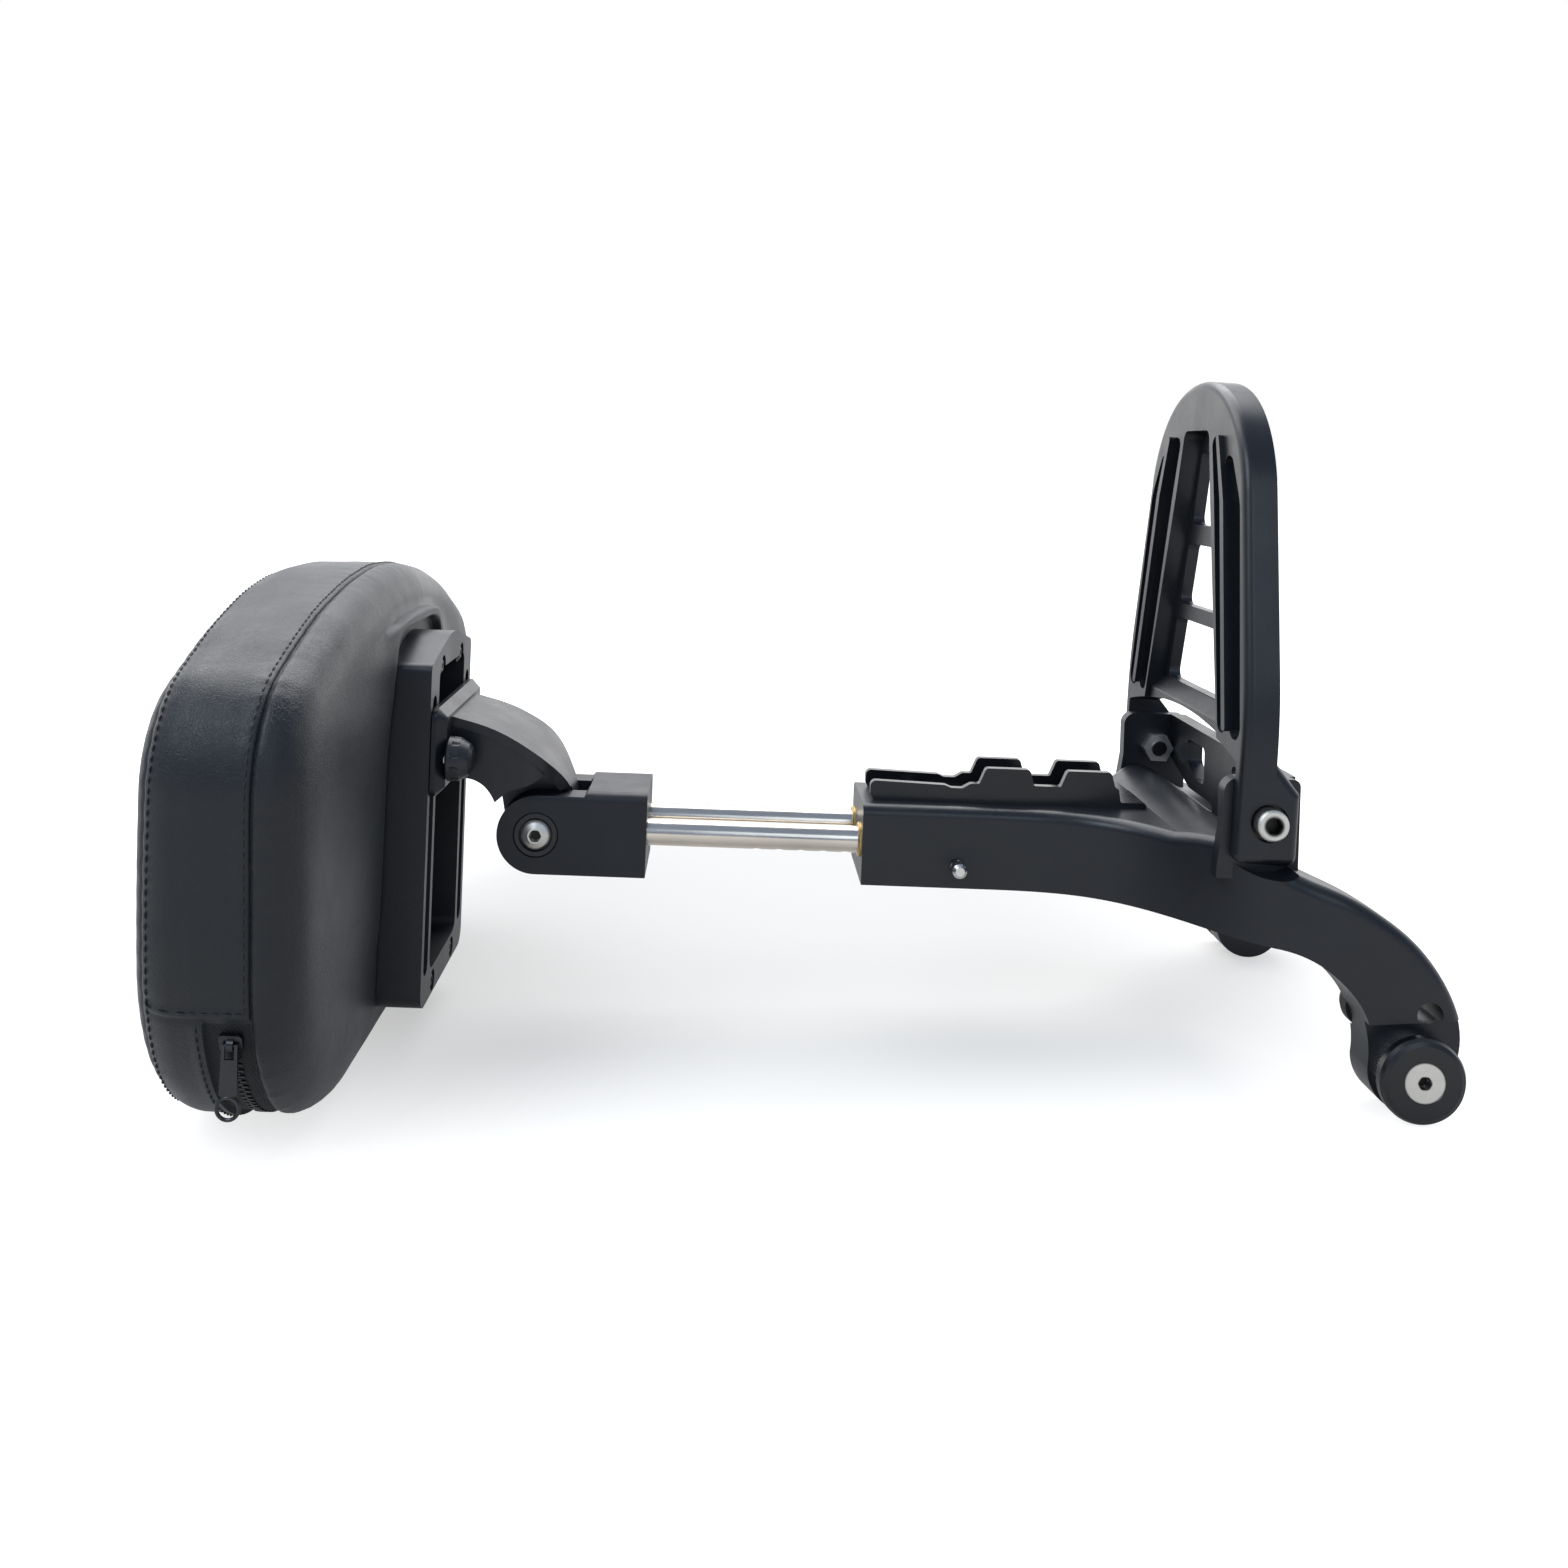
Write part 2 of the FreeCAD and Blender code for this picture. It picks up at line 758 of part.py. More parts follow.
keep(cut("channel_cut", channel_body, channel_cuts), "rest_channel")
for number, place in (("front", d.channel_front + 22), ("rear", d.channel_rear - 22)):
    floor = d.block_top + d.channel_floor
    screw_outline = rounded([
        (0, d.block_top - 8.0),
        (2.45, d.block_top - 8.0),
        (2.45, floor),
        (4.6, floor),
        (4.6, floor + 0.8),
        (3.4, floor + 2.4, 1),
        (1.5, floor + 2.4),
        (1.5, floor + 1.0),
        (0, floor + 1.0),
    ])
    text = "channel_front + 22" if number == "front" else "channel_rear - 22"
    screw = revolve("channel_screw_%s_turned" % number, "xz", screw_outline, V(place, 0, 0), V(0, 0, 1), (text, "0", "0"))
    keep(screw, "channel_screw_%s" % number)

# Docking feet: spacer ring, flange disc and countersunk screw on each leg's tongue.
for side, sign in SIDES:
    gap_in = d.tongue_outer
    gap_out = gap_in + d.foot_gap
    disc_out = gap_out + d.foot_disc_thick
    bore = d.foot_screw_dia / 2 + 0.1
    head = d.foot_head_dia / 2
    ring_r = d.foot_gap_dia / 2
    disc_r = d.foot_disc_dia / 2
    spacer_outline = rounded([
        (sign * gap_in, bore), (sign * gap_in, ring_r), (sign * gap_out, ring_r), (sign * gap_out, bore)])
    base = ("foot_x", "0", "foot_z")
    centre = V(d.foot_x, 0, d.foot_z)
    spacer = revolve("foot_spacer_%s_turned" % side, "yz", spacer_outline, centre, V(0, 1, 0), base)
    keep(spacer, "foot_spacer_%s" % side)
    disc_outline = rounded([
        (sign * gap_out, bore),
        (sign * gap_out, disc_r - 0.8),
        (sign * (gap_out + 0.8), disc_r),
        (sign * (disc_out - 2.2), disc_r),
        (sign * (disc_out - 0.7), disc_r - 0.9),
        (sign * disc_out, disc_r - 2.6),
        (sign * disc_out, head + 0.25),
        (sign * (disc_out - (head + 0.25 - bore)), bore),
    ])
    disc = revolve("foot_disc_%s_turned" % side, "yz", disc_outline, centre, V(0, 1, 0), base)
    keep(disc, "foot_disc_%s" % side)
    shank = d.foot_screw_dia / 2
    tip = d.leg_inner - 6.0
    socket_r = 2.9
    screw_outline = rounded([
        (sign * tip, 0),
        (sign * tip, shank - 0.8),
        (sign * (tip + 0.8), shank),
        (sign * (disc_out - 0.2 - (head - shank)), shank),
        (sign * (disc_out - 0.2), head),
        (sign * (disc_out - 0.2), 0),
    ])
    turned = revolve("foot_screw_%s_turned" % side, "yz", screw_outline, centre, V(0, 1, 0), base)
    socket_y = str(sign * (disc_out - 0.2)) if sign < 0 else str(disc_out - 0.2 - 3.6)
    socket = extrude(
        "foot_socket_%s" % side, "xz", hexagon(d.foot_x, d.foot_z, 5.0), socket_y, "3.6")
    keep(cut("foot_screw_%s_cut" % side, turned, [socket]), "foot_screw_%s" % side)
    nut_y = "leg_inner - 5" if sign > 0 else "-leg_inner"
    nut_blank = extrude("foot_nut_%s_hex" % side, "xz", hexagon(d.foot_x, d.foot_z, 13.0), nut_y, "5")
    nut_hole = cylinder(
        "foot_nut_%s_hole" % side, "foot_screw_dia / 2 + 0.02", "9", ("foot_x", nut_y + " - 2", "foot_z"), "y")
    keep(cut("foot_nut_%s_cut" % side, nut_blank, [nut_hole]), "foot_nut_%s" % side)
    inner = d.leg_inner
    bump_r = d.bumper_dia / 2
    bump_outline = rounded([
        (sign * inner, 0),
        (sign * inner, bump_r),
        (sign * (inner - d.bumper_height * 0.5), bump_r),
        (sign * (inner - d.bumper_height * 0.82), bump_r - 1.2),
        (sign * (inner - d.bumper_height), bump_r - 3.5),
        (sign * (inner - d.bumper_height), 0),
    ])
    bump_base = ("bumper_x", "0", "bumper_z")
    bump = revolve(
        "leg_bumper_%s_turned" % side, "yz", bump_outline, V(d.bumper_x, 0, d.bumper_z), V(0, 1, 0), bump_base)
    keep(bump, "leg_bumper_%s" % side)

# Folding rack: a tombstone casting with a ladder of windows, two ribbed beams and hinge lugs.
front = -d.rack_front
rear = d.rack_rear
half = d.rack_half_width
side_slope = math.atan(d.rack_taper)
side_along = V(-math.sin(side_slope), math.cos(side_slope), 0)
side_out = V(math.cos(side_slope), math.sin(side_slope), 0)
side_bend = V(half, d.rack_bend_z, 0)
bend_reach = d.rack_bend_radius * math.tan(side_slope / 2)
bend_low = V(half, d.rack_bend_z - bend_reach, 0)
bend_centre = bend_low - V(d.rack_bend_radius, 0, 0)
bend_mid = bend_centre + V(math.cos(side_slope / 2), math.sin(side_slope / 2), 0) * d.rack_bend_radius
bend_high = side_bend + side_along * bend_reach
top_centre = V(0, d.rack_height - d.rack_top_radius, 0)
out_reach = (side_bend - top_centre).dot(side_out) - d.rack_shoulder_radius
span = d.rack_top_radius - d.rack_shoulder_radius
shoulder_centre = top_centre + side_out * out_reach + side_along * math.sqrt(span ** 2 - out_reach ** 2)
shoulder_low = shoulder_centre + side_out * d.rack_shoulder_radius
top_out = (shoulder_centre - top_centre).normalize()
shoulder_high = top_centre + top_out * d.rack_top_radius
shoulder_mid = shoulder_centre + (side_out + top_out).normalize() * d.rack_shoulder_radius


def flipped(point):
    return V(-point.x, point.y, 0)


foot_in = half - d.lug_thick
arch_low = V(foot_in, d.rack_arch_side, 0)
arch_top = V(0, d.rack_arch_top, 0)
arch_radius = (foot_in ** 2 + (d.rack_arch_top - d.rack_arch_side) ** 2) / (2 * (d.rack_arch_top - d.rack_arch_side))


def arch_height(across):
    return d.rack_arch_top - arch_radius + math.sqrt(arch_radius ** 2 - across ** 2)


rack_edges = [
    line((half, 0), (half, bend_low.y)),
    Part.Arc(bend_low, bend_mid, bend_high),
    Part.LineSegment(bend_high, shoulder_low),
    Part.Arc(shoulder_low, shoulder_mid, shoulder_high),
    Part.Arc(shoulder_high, V(0, d.rack_height, 0), flipped(shoulder_high)),
    Part.Arc(flipped(shoulder_high), flipped(shoulder_mid), flipped(shoulder_low)),
    Part.LineSegment(flipped(shoulder_low), flipped(bend_high)),
    Part.Arc(flipped(bend_high), flipped(bend_mid), flipped(bend_low)),
    line((-half, bend_low.y), (-half, 0)),
    line((-half, 0), (-foot_in, 0)),
    line((-foot_in, 0), (-foot_in, arch_low.y)),
    Part.Arc(flipped(arch_low), arch_top, arch_low),
    line((foot_in, arch_low.y), (foot_in, 0)),
    line((foot_in, 0), (half, 0)),
]
rack_blank = extrude("rack_blank", "yz", rack_edges, "-rack_front", "rack_front + rack_rear")
rack_lugs = []
for side, sign in SIDES:
    lug_outline = rounded([
        (front, 24.0),
        (front, d.lug_bottom, 3.5),
        (d.lug_rear, d.lug_bottom, 4.0),
        (d.lug_rear, 12.0, 2.0),
        (rear, 25.0),
    ])
    lug_y = "rack_half_width - lug_thick" if sign > 0 else "-rack_half_width"
    rack_lugs.append(extrude("rack_lug_%s" % side, "xz", lug_outline, lug_y, "lug_thick"))
ribs = []
grooves = []
for side, sign in SIDES:
    rib_outline = rounded([
        (sign * 69.0, 33.0, 1.8),
        (sign * 64.6, 33.0, 1.8),
        (sign * 43.8, 129.0, 6),
        (sign * 33.0, 158.0, 1.6),
        (sign * 36.6, 158.0, 1.6),
        (sign * 48.2, 129.0, 6),
    ])
    grooves.append(extrude(
        "rack_groove_in_%s" % side, "yz",
        rounded([
            (sign * 64.6, 31.0, 4.5),
            (sign * 54.0, 31.0, 4.5),
            (sign * 30.0, 129.0, 20),
            (sign * 22.0, 157.0, 4.0),
            (sign * 33.0, 158.0, 4.0),
            (sign * 43.8, 129.0, 20),
        ]),
        "-rack_front - 1", "groove_depth + 1"))
    grooves.append(extrude(
        "rack_groove_out_%s" % side, "yz",
        rounded([
            (sign * 81.5, 31.0, 5.5),
            (sign * 69.0, 31.0, 5.5),
            (sign * 48.2, 129.0, 20),
            (sign * 39.5, 151.0, 4.0),
            (sign * 50.5, 148.0, 4.0),
            (sign * 63.0, 129.0, 20),
        ]),
        "-rack_front - 1", "groove_depth + 1"))
    rib = extrude(
        "rack_rib_%s" % side, "yz", rib_outline, "-rack_front - rib_proud", "rib_proud + groove_depth + 1")
    ribs.append(rib)
channel_edges = rounded([
    (-55.5, 20.0),
    (-47.6, 48.0, 30),
    (-24.8, 129.0, 60),
    (-17.2, 160.5, 5),
    (17.2, 160.5, 5),
    (24.8, 129.0, 60),
    (47.6, 48.0, 30),
    (55.5, 20.0),
])
rack_channel = extrude("rack_channel", "yz", channel_edges, "-rack_front - 5", "rack_recess + 5")
ramp_front = front + 2.5
ramp_outline = rounded([
    (ramp_front, 26.0),
    (front + d.rack_recess + 0.5, 26.0),
    (front + d.rack_recess + 0.5, 39.5),
    (front + d.rack_recess - 0.5, 39.5),
    (ramp_front, 33.5, 1.5),
])
ramp_prism = extrude("rack_ramp_prism", "xz", ramp_outline, "-60", "120")
ramp_low = arch_height(53.5)
ramp_keep = extrude("rack_ramp_keep", "yz", [
    line((-53.5, ramp_low), (-50.0, 40.5)),
    line((-50.0, 40.5), (50.0, 40.5)),
    line((50.0, 40.5), (53.5, ramp_low)),
    Part.Arc(V(53.5, ramp_low, 0), arch_top, V(-53.5, ramp_low, 0)),
], "-rack_front - 1", "rack_front + rack_rear + 1")
ramp = common("rack_ramp", ramp_prism, ramp_keep)
window_rows = (
    (40.0, 70.5, 45.0, 36.8),
    (77.5, 107.0, 34.6, 26.8),
    (116.5, 151.0, 23.8, 16.6),
)
rack_windows = []
for number, (low, high, low_half, high_half) in enumerate(window_rows, start=1):
    rack_windows.append(extrude(
        "rack_window_%d" % number, "yz",
        rounded([
            (-low_half, low, 4),
            (-high_half, high, 4),
            (high_half, high, 4),
            (low_half, low, 4),
        ]),
        "-rack_front - 1", "rack_front + rack_rear + 2"))
rack_plain = cut("rack_grooved", fuse("rack_solid", [rack_blank] + rack_lugs), grooves + [rack_channel])
rack_ribbed = fuse("rack_ribbed", [rack_plain, ramp] + ribs)
hinge_holes = []
for side, sign in SIDES:
    hole_y = "rack_half_width - lug_thick - 1" if sign > 0 else "-rack_half_width - 1"
    hinge_holes.append(cylinder(
        "rack_hinge_hole_%s" % side, "hinge_bolt_dia / 2 + rod_fit", "lug_thick + 2", ("0", hole_y, "0"), "y"))
    sink_y = "rack_half_width - 3.2" if sign > 0 else "-rack_half_width - 1"
    hinge_holes.append(cylinder(
        "rack_hinge_sink_%s" % side, "hinge_head_dia / 2 + 1.4", "4.2", ("0", sink_y, "0"), "y"))
rack_cut = cut("rack_cut", rack_ribbed, rack_windows + hinge_holes)
doc.recompute()


def rack_rim(edge, middle):
    """An edge of the plate's outer rim: just outside it there is no plate."""
    flat_edge = edge.BoundBox.XLength < 0.01 and middle.z > 20
    out_there = abs(middle.y) > 79 or middle.z > 60
    if not (flat_edge and out_there):
        return False
    from_centre = V(0, middle.y, middle.z - 90)
    beside = V(-5, middle.y, middle.z) + from_centre.normalize()
    return not rack_blank.Shape.isInside(beside, 1e-3, True)


def rack_front_rim(edge, middle):
    return abs(middle.x + d.rack_front) < 0.01 and rack_rim(edge, middle)


rack_final = fillet("rack_rounded", rack_cut, rack_front_rim, 4.0)
doc.recompute()
if rack_final.Shape.isNull() or not rack_final.Shape.isValid():
    raise RuntimeError("rack edge rounding failed")
rack_final.Placement = Placement(V(d.hinge_x, 0, d.hinge_z), Rotation(V(0, 1, 0), d.rack_lean))
keep(rack_final, "rack_plate")

# Hinge bolts and nuts of the rack.
for side, sign in SIDES:
    seat = d.rack_half_width - 3.2
    ear_in = d.ear_inner
    shank = d.hinge_bolt_dia / 2
    head = d.hinge_head_dia / 2
    end = ear_in - 7.6
    bolt_outline = rounded([
        (sign * end, 0),
        (sign * end, shank - 0.8),
        (sign * (end + 0.8), shank),
        (sign * (seat + 0.05), shank),
        (sign * (seat + 0.05), head),
        (sign * (seat + 7.0), head, 0.8),
        (sign * (seat + 8.0), head - 0.9),
        (sign * (seat + 8.0), 0),
    ])
    base = ("hinge_x", "0", "hinge_z")
    centre = V(d.hinge_x, 0, d.hinge_z)
    turned = revolve("hinge_bolt_%s_turned" % side, "yz", bolt_outline, centre, V(0, 1, 0), base)
    socket_y = str(seat + 4.0) if sign > 0 else str(-seat - 8.5)
    socket = extrude(
        "hinge_socket_%s" % side, "xz", hexagon(d.hinge_x, d.hinge_z, 6.0), socket_y, "4.5")
    keep(cut("hinge_bolt_%s_cut" % side, turned, [socket]), "hinge_bolt_%s" % side)
    nut_y = "ear_inner - 6.5" if sign > 0 else "-ear_inner"
    nut_blank = extrude(
        "hinge_nut_%s_hex" % side, "xz", hexagon(d.hinge_x, d.hinge_z, d.hinge_nut_flats), nut_y, "6.5")
    nut_hole = cylinder(
        "hinge_nut_%s_hole" % side, "hinge_bolt_dia / 2 + 0.02", "10", ("hinge_x", nut_y + " - 1", "hinge_z"), "y")
    keep(cut("hinge_nut_%s_cut" % side, nut_blank, [nut_hole]), "hinge_nut_%s" % side)

# Clevis: a forked block that holds the rods behind and the arm's tongue in front.
clevis_body = doc.addObject("PartDesign::Body", "clevis_body")
clevis_half = d.clevis_width / 2
low_z = d.pivot_z - d.clevis_front_radius
ear_high = d.pivot_z + d.clevis_front_radius
clevis_side = [
    Part.Arc(
        V(d.pivot_x, ear_high, 0),
        V(d.pivot_x - d.clevis_front_radius, d.pivot_z, 0),
        V(d.pivot_x, low_z, 0),
    ),
    line((d.pivot_x, low_z), (d.clevis_rear, low_z)),
    line((d.clevis_rear, low_z), (d.clevis_rear, d.clevis_top)),
    line((d.clevis_rear, d.clevis_top), (d.clevis_step, d.clevis_top)),
    line((d.clevis_step, d.clevis_top), (d.clevis_step - 1.5, ear_high)),
    line((d.clevis_step - 1.5, ear_high), (d.pivot_x, ear_high)),
]
clevis_profile = body_sketch(clevis_body, "clevis_side", "XZ_Plane", clevis_side)
clevis_pad = clevis_body.newObject("PartDesign::Pad", "clevis_pad")
clevis_pad.Profile = clevis_profile
clevis_pad.SideType = "Symmetric"
bind(clevis_pad, "Length", "clevis_width")
doc.recompute()
slot_half = d.slot_width / 2
slot_profile = body_sketch(clevis_body, "clevis_slot", "XY_Plane", rounded([
    (d.pivot_x - d.clevis_front_radius - 5, -slot_half),
    (d.clevis_step, -slot_half, 3),
    (d.clevis_step, slot_half, 3),
    (d.pivot_x - d.clevis_front_radius - 5, slot_half),
]))
slot_pocket = clevis_body.newObject("PartDesign::Pocket", "clevis_slot_cut")
slot_pocket.Profile = slot_profile
slot_pocket.Type = "ThroughAll"
slot_pocket.SideType = "Symmetric"
doc.recompute()
rod_profile = body_sketch(
    clevis_body, "clevis_rod_holes", "YZ_Plane",
    [
        circle(half_spacing, 0, d.rod_dia / 2 + 0.02),
        circle(-half_spacing, 0, d.rod_dia / 2 + 0.02),
    ],
    Placement(V(0, 0, d.rod_front - 1), Rotation(0, 0, 0, 1)),
)
rod_pocket = clevis_body.newObject("PartDesign::Pocket", "clevis_rod_cut")
rod_pocket.Profile = rod_profile
rod_pocket.Type = "Length"
rod_pocket.Reversed = True
bind(rod_pocket, "Length", "clevis_rear - rod_front + 3")
doc.recompute()
pin_profile = body_sketch(
    clevis_body, "clevis_pivot_hole", "XZ_Plane", [circle(d.pivot_x, d.pivot_z, d.pivot_bush_hub / 2)])
pin_pocket = clevis_body.newObject("PartDesign::Pocket", "clevis_pivot_cut")
pin_pocket.Profile = pin_profile
pin_pocket.Type = "ThroughAll"
pin_pocket.SideType = "Symmetric"
doc.recompute()
for side, sign in SIDES:
    seat_profile = body_sketch(
        clevis_body, "clevis_bush_seat_%s" % side, "XZ_Plane",
        [circle(d.pivot_x, d.pivot_z, d.pivot_bush_dia / 2)],
        Placement(V(0, 0, -sign * (clevis_half + 1)), Rotation(0, 0, 0, 1)),
    )
    seat_pocket = clevis_body.newObject("PartDesign::Pocket", "clevis_bush_sink_%s" % side)
    seat_pocket.Profile = seat_profile
    seat_pocket.Type = "Length"
    seat_pocket.Reversed = sign > 0
    bind(seat_pocket, "Length", "pivot_bush_flange + 1")
    doc.recompute()
grub_profile = body_sketch(
    clevis_body, "clevis_grub_holes", "XY_Plane",
    [
        circle(d.setscrew_x, half_spacing, d.setscrew_dia / 2),
        circle(d.setscrew_x, -half_spacing, d.setscrew_dia / 2),
    ],
    Placement(V(0, 0, low_z - 1), Rotation(0, 0, 0, 1)),
)
grub_pocket = clevis_body.newObject("PartDesign::Pocket", "clevis_grub_cut")
grub_pocket.Profile = grub_profile
grub_pocket.Type = "Length"
grub_pocket.Reversed = True
bind(grub_pocket, "Length", "%f" % (-low_z - d.rod_dia / 2 + 2))
doc.recompute()


corner_loops = []
for sign in (-1, 1):
    round_r = 4.5
    flat_y = sign * (clevis_half - round_r)
    skew = round_r * math.sqrt(0.5)
    corner_loops.append(Part.Arc(
        V(flat_y, d.clevis_top, 0),
        V(flat_y + sign * skew, d.clevis_top - round_r + skew, 0),
        V(sign * clevis_half, d.clevis_top - round_r, 0),
    ))
    corner_loops.append(line((sign * clevis_half, d.clevis_top - round_r), (sign * (clevis_half + 2), d.clevis_top - round_r)))
    corner_loops.append(line((sign * (clevis_half + 2), d.clevis_top - round_r), (sign * (clevis_half + 2), d.clevis_top + 2)))
    corner_loops.append(line((sign * (clevis_half + 2), d.clevis_top + 2), (flat_y, d.clevis_top + 2)))
    corner_loops.append(line((flat_y, d.clevis_top + 2), (flat_y, d.clevis_top)))
corner_profile = body_sketch(clevis_body, "clevis_corners", "YZ_Plane", corner_loops)
corner_pocket = clevis_body.newObject("PartDesign::Pocket", "clevis_corner_cut")
corner_pocket.Profile = corner_profile
corner_pocket.Type = "ThroughAll"
corner_pocket.SideType = "Symmetric"
clevis_body.Tip = corner_pocket
doc.recompute()
keep(clevis_body, "clevis")

for side, sign in SIDES:
    grub_top = -d.rod_dia / 2 - 0.05
    grub = cylinder(
        "rod_grub_%s_bar" % side, "setscrew_dia / 2 - 0.05", str(grub_top - low_z - 1.5),
        ("setscrew_x", "%d * rod_spacing / 2" % sign, str(low_z + 1.5)), "z")
    grub_socket = extrude(
        "rod_grub_%s_socket" % side, "xy", hexagon(d.setscrew_x, sign * half_spacing, 3.0), str(low_z + 1.4), "2.6")
    keep(cut("rod_grub_%s_cut" % side, grub, [grub_socket]), "rod_grub_%s" % side)

# Pivot: two flanged bushes in the ears, a button screw from the near side and a nut on the far side.
for side, sign in SIDES:
    face = clevis_half
    bush_r = d.pivot_bush_dia / 2
    hub_r = d.pivot_bush_hub / 2
    bore = d.pivot_dia / 2 + 0.05
    sink = d.pivot_head_dia / 2 + 0.6
    bush_outline = rounded([
        (sign * (slot_half + 0.2), bore),
        (sign * (slot_half + 0.2), hub_r - 0.02),
        (sign * (face - d.pivot_bush_flange), hub_r - 0.02),
        (sign * (face - d.pivot_bush_flange), bush_r - 0.05),
        (sign * (face - 0.6), bush_r - 0.05),
        (sign * face, bush_r - 0.65),
        (sign * face, sink),
        (sign * (face - 2.0), sink),
        (sign * (face - 2.0), bore),
    ])
    base = ("pivot_x", "0", "pivot_z")
    centre = V(d.pivot_x, 0, d.pivot_z)
    bush = revolve("pivot_bush_%s_turned" % side, "yz", bush_outline, centre, V(0, 1, 0), base)
    keep(bush, "pivot_bush_%s" % side)
shank = d.pivot_dia / 2
head = d.pivot_head_dia / 2
seat = clevis_half - 2.0
pivot_outline = rounded([
    (-seat - 4.0, 0),
    (-seat - 4.0, head - 3.6),
    (-seat - 2.6, head - 1.2, 2.0),
    (-seat - 0.8, head),
    (-seat, head),
    (-seat, shank),
    (seat + 5.6, shank),
    (seat + 6.4, shank - 0.8),
    (seat + 6.4, 0),
])
pivot_turned = revolve("pivot_screw_turned", "yz", pivot_outline, centre, V(0, 1, 0), base)
pivot_socket = extrude(
    "pivot_socket", "xz", hexagon(d.pivot_x, d.pivot_z, 5.0), str(-seat - 4.5), "3.1")
keep(cut("pivot_screw_cut", pivot_turned, [pivot_socket]), "pivot_screw")
pivot_nut_blank = extrude("pivot_nut_hex", "xz", hexagon(d.pivot_x, d.pivot_z, 12.6), str(seat), "5.2")
pivot_nut_hole = cylinder(
    "pivot_nut_hole", "pivot_dia / 2 + 0.02", "8", ("pivot_x", str(seat - 1), "pivot_z"), "y")
keep(cut("pivot_nut_cut", pivot_nut_blank, [pivot_nut_hole]), "pivot_nut")

# Arm: a curved hooded casting from the clamp plate down to a tongue in the clevis.
plate_rear = d.plate_front + d.plate_thick
crown = [
    (plate_rear - 2.0, 52.6),
    (-111.0, 50.4),
    (-103.5, 48.4),
    (-96.0, 45.6),
    (-88.0, 41.6),
    (-80.0, 36.4),
    (-73.0, 29.6),
    (-68.0, 22.5),
    (-64.4, 15.0),
    (-62.8, 7.0),
    (-62.6, 0.0),
]


def offset_inward(points, distance):
    moved = []
    for index, point in enumerate(points):
        before = points[max(index - 1, 0)]
        after = points[min(index + 1, len(points) - 1)]
        dx = after[0] - before[0]
        dy = after[1] - before[1]
        size = math.hypot(dx, dy)
        moved.append((point[0] + dy / size * distance, point[1] - dx / size * distance))
    return moved




def strip_edges(points, depth, thickness):
    top = offset_inward(points, depth)
    low = offset_inward(points, depth + thickness)
    return [
        curve(top),
        line(top[-1], low[-1]),
        curve(list(reversed(low))),
        line(low[0], top[0]),
    ]


def neck_edges(side_half, tail_half):
    neck = [(-86.0, side_half), (-78.5, side_half - 2.0), (-72.5, side_half * 0.74), (-68.0, side_half * 0.5), (-63.0, tail_half)]
    front_x = plate_rear - 2.0
    return [
        line((front_x, -side_half), (front_x, side_half)),
        line((front_x, side_half), neck[0]),
        curve(neck),
        line(neck[-1], (-55.0, tail_half)),
        line((-55.0, tail_half), (-55.0, -tail_half)),
        line((-55.0, -tail_half), (neck[-1][0], -tail_half)),
        curve([(point[0], -point[1]) for point in reversed(neck)]),
        line((neck[0][0], -side_half), (front_x, -side_half)),
    ]


tongue_half = slot_half - d.tongue_side_gap
outer_half = d.arm_half_width + d.arm_lip
crown_strip = extrude("arm_crown_strip", "xz", strip_edges(crown[:10], 0.0, d.arm_lip_thick), str(-outer_half), str(2 * outer_half))
crown_plan = extrude("arm_crown_plan", "xy", neck_edges(outer_half, tongue_half), "-5", "70")
hood = common("arm_hood", crown_strip, crown_plan)
wall_plan = extrude("arm_wall_plan", "xy", neck_edges(d.arm_half_width, tongue_half), "-5", "70")
inner_crown = offset_inward(crown[:10], 1.5)
hood_top = inner_crown[:7]
tooth = (-97.8, 14.0)
wall_edges = [
    curve(hood_top),
    curve([hood_top[-1], (-77.5, 25.6), (-84.0, 21.6), (-90.5, 19.6), (-94.4, 17.0)]),
    line((-94.4, 17.0), tooth),
    curve([tooth, (-99.6, 17.2), (-102.6, 20.8), (-106.4, 23.2), (-110.8, 24.3)]),
    line((-110.8, 24.3), (plate_rear - 2.0, 24.3)),
    line((plate_rear - 2.0, 24.3), hood_top[0]),
]
arm_parts = [hood]
for side, sign in SIDES:
    wall_y = "arm_half_width - arm_wall" if sign > 0 else "-arm_half_width"
    arm_wall = extrude("arm_wall_%s_blank" % side, "xz", wall_edges, wall_y, "arm_wall")
    arm_parts.append(common("arm_wall_%s" % side, arm_wall, wall_plan))
boss = cylinder(
    "arm_boss", "arm_boss_radius", "slot_width - 2 * tongue_side_gap",
    ("pivot_x", "-slot_width / 2 + tongue_side_gap", "pivot_z"), "y")
tongue_edges = [
    curve(inner_crown),
    line(inner_crown[-1], (d.pivot_x + d.arm_boss_radius - 0.5, d.pivot_z - 1.5)),
    line((d.pivot_x + d.arm_boss_radius - 0.5, d.pivot_z - 1.5), (d.pivot_x, d.pivot_z - 6.0)),
    line((d.pivot_x, d.pivot_z - 6.0), (d.pivot_x - d.arm_boss_radius + 0.5, d.pivot_z)),
    line((d.pivot_x - d.arm_boss_radius + 0.5, d.pivot_z), (-98.0, 16.0)),
    curve([(-98.0, 16.0), (-103.0, 21.5), (-111.0, 25.0)]),
    line((-111.0, 25.0), (plate_rear - 2.0, 25.0)),
    line((plate_rear - 2.0, 25.0), inner_crown[0]),
]
tongue = extrude(
    "arm_tongue", "xz", tongue_edges, "-slot_width / 2 + tongue_side_gap", "slot_width - 2 * tongue_side_gap")
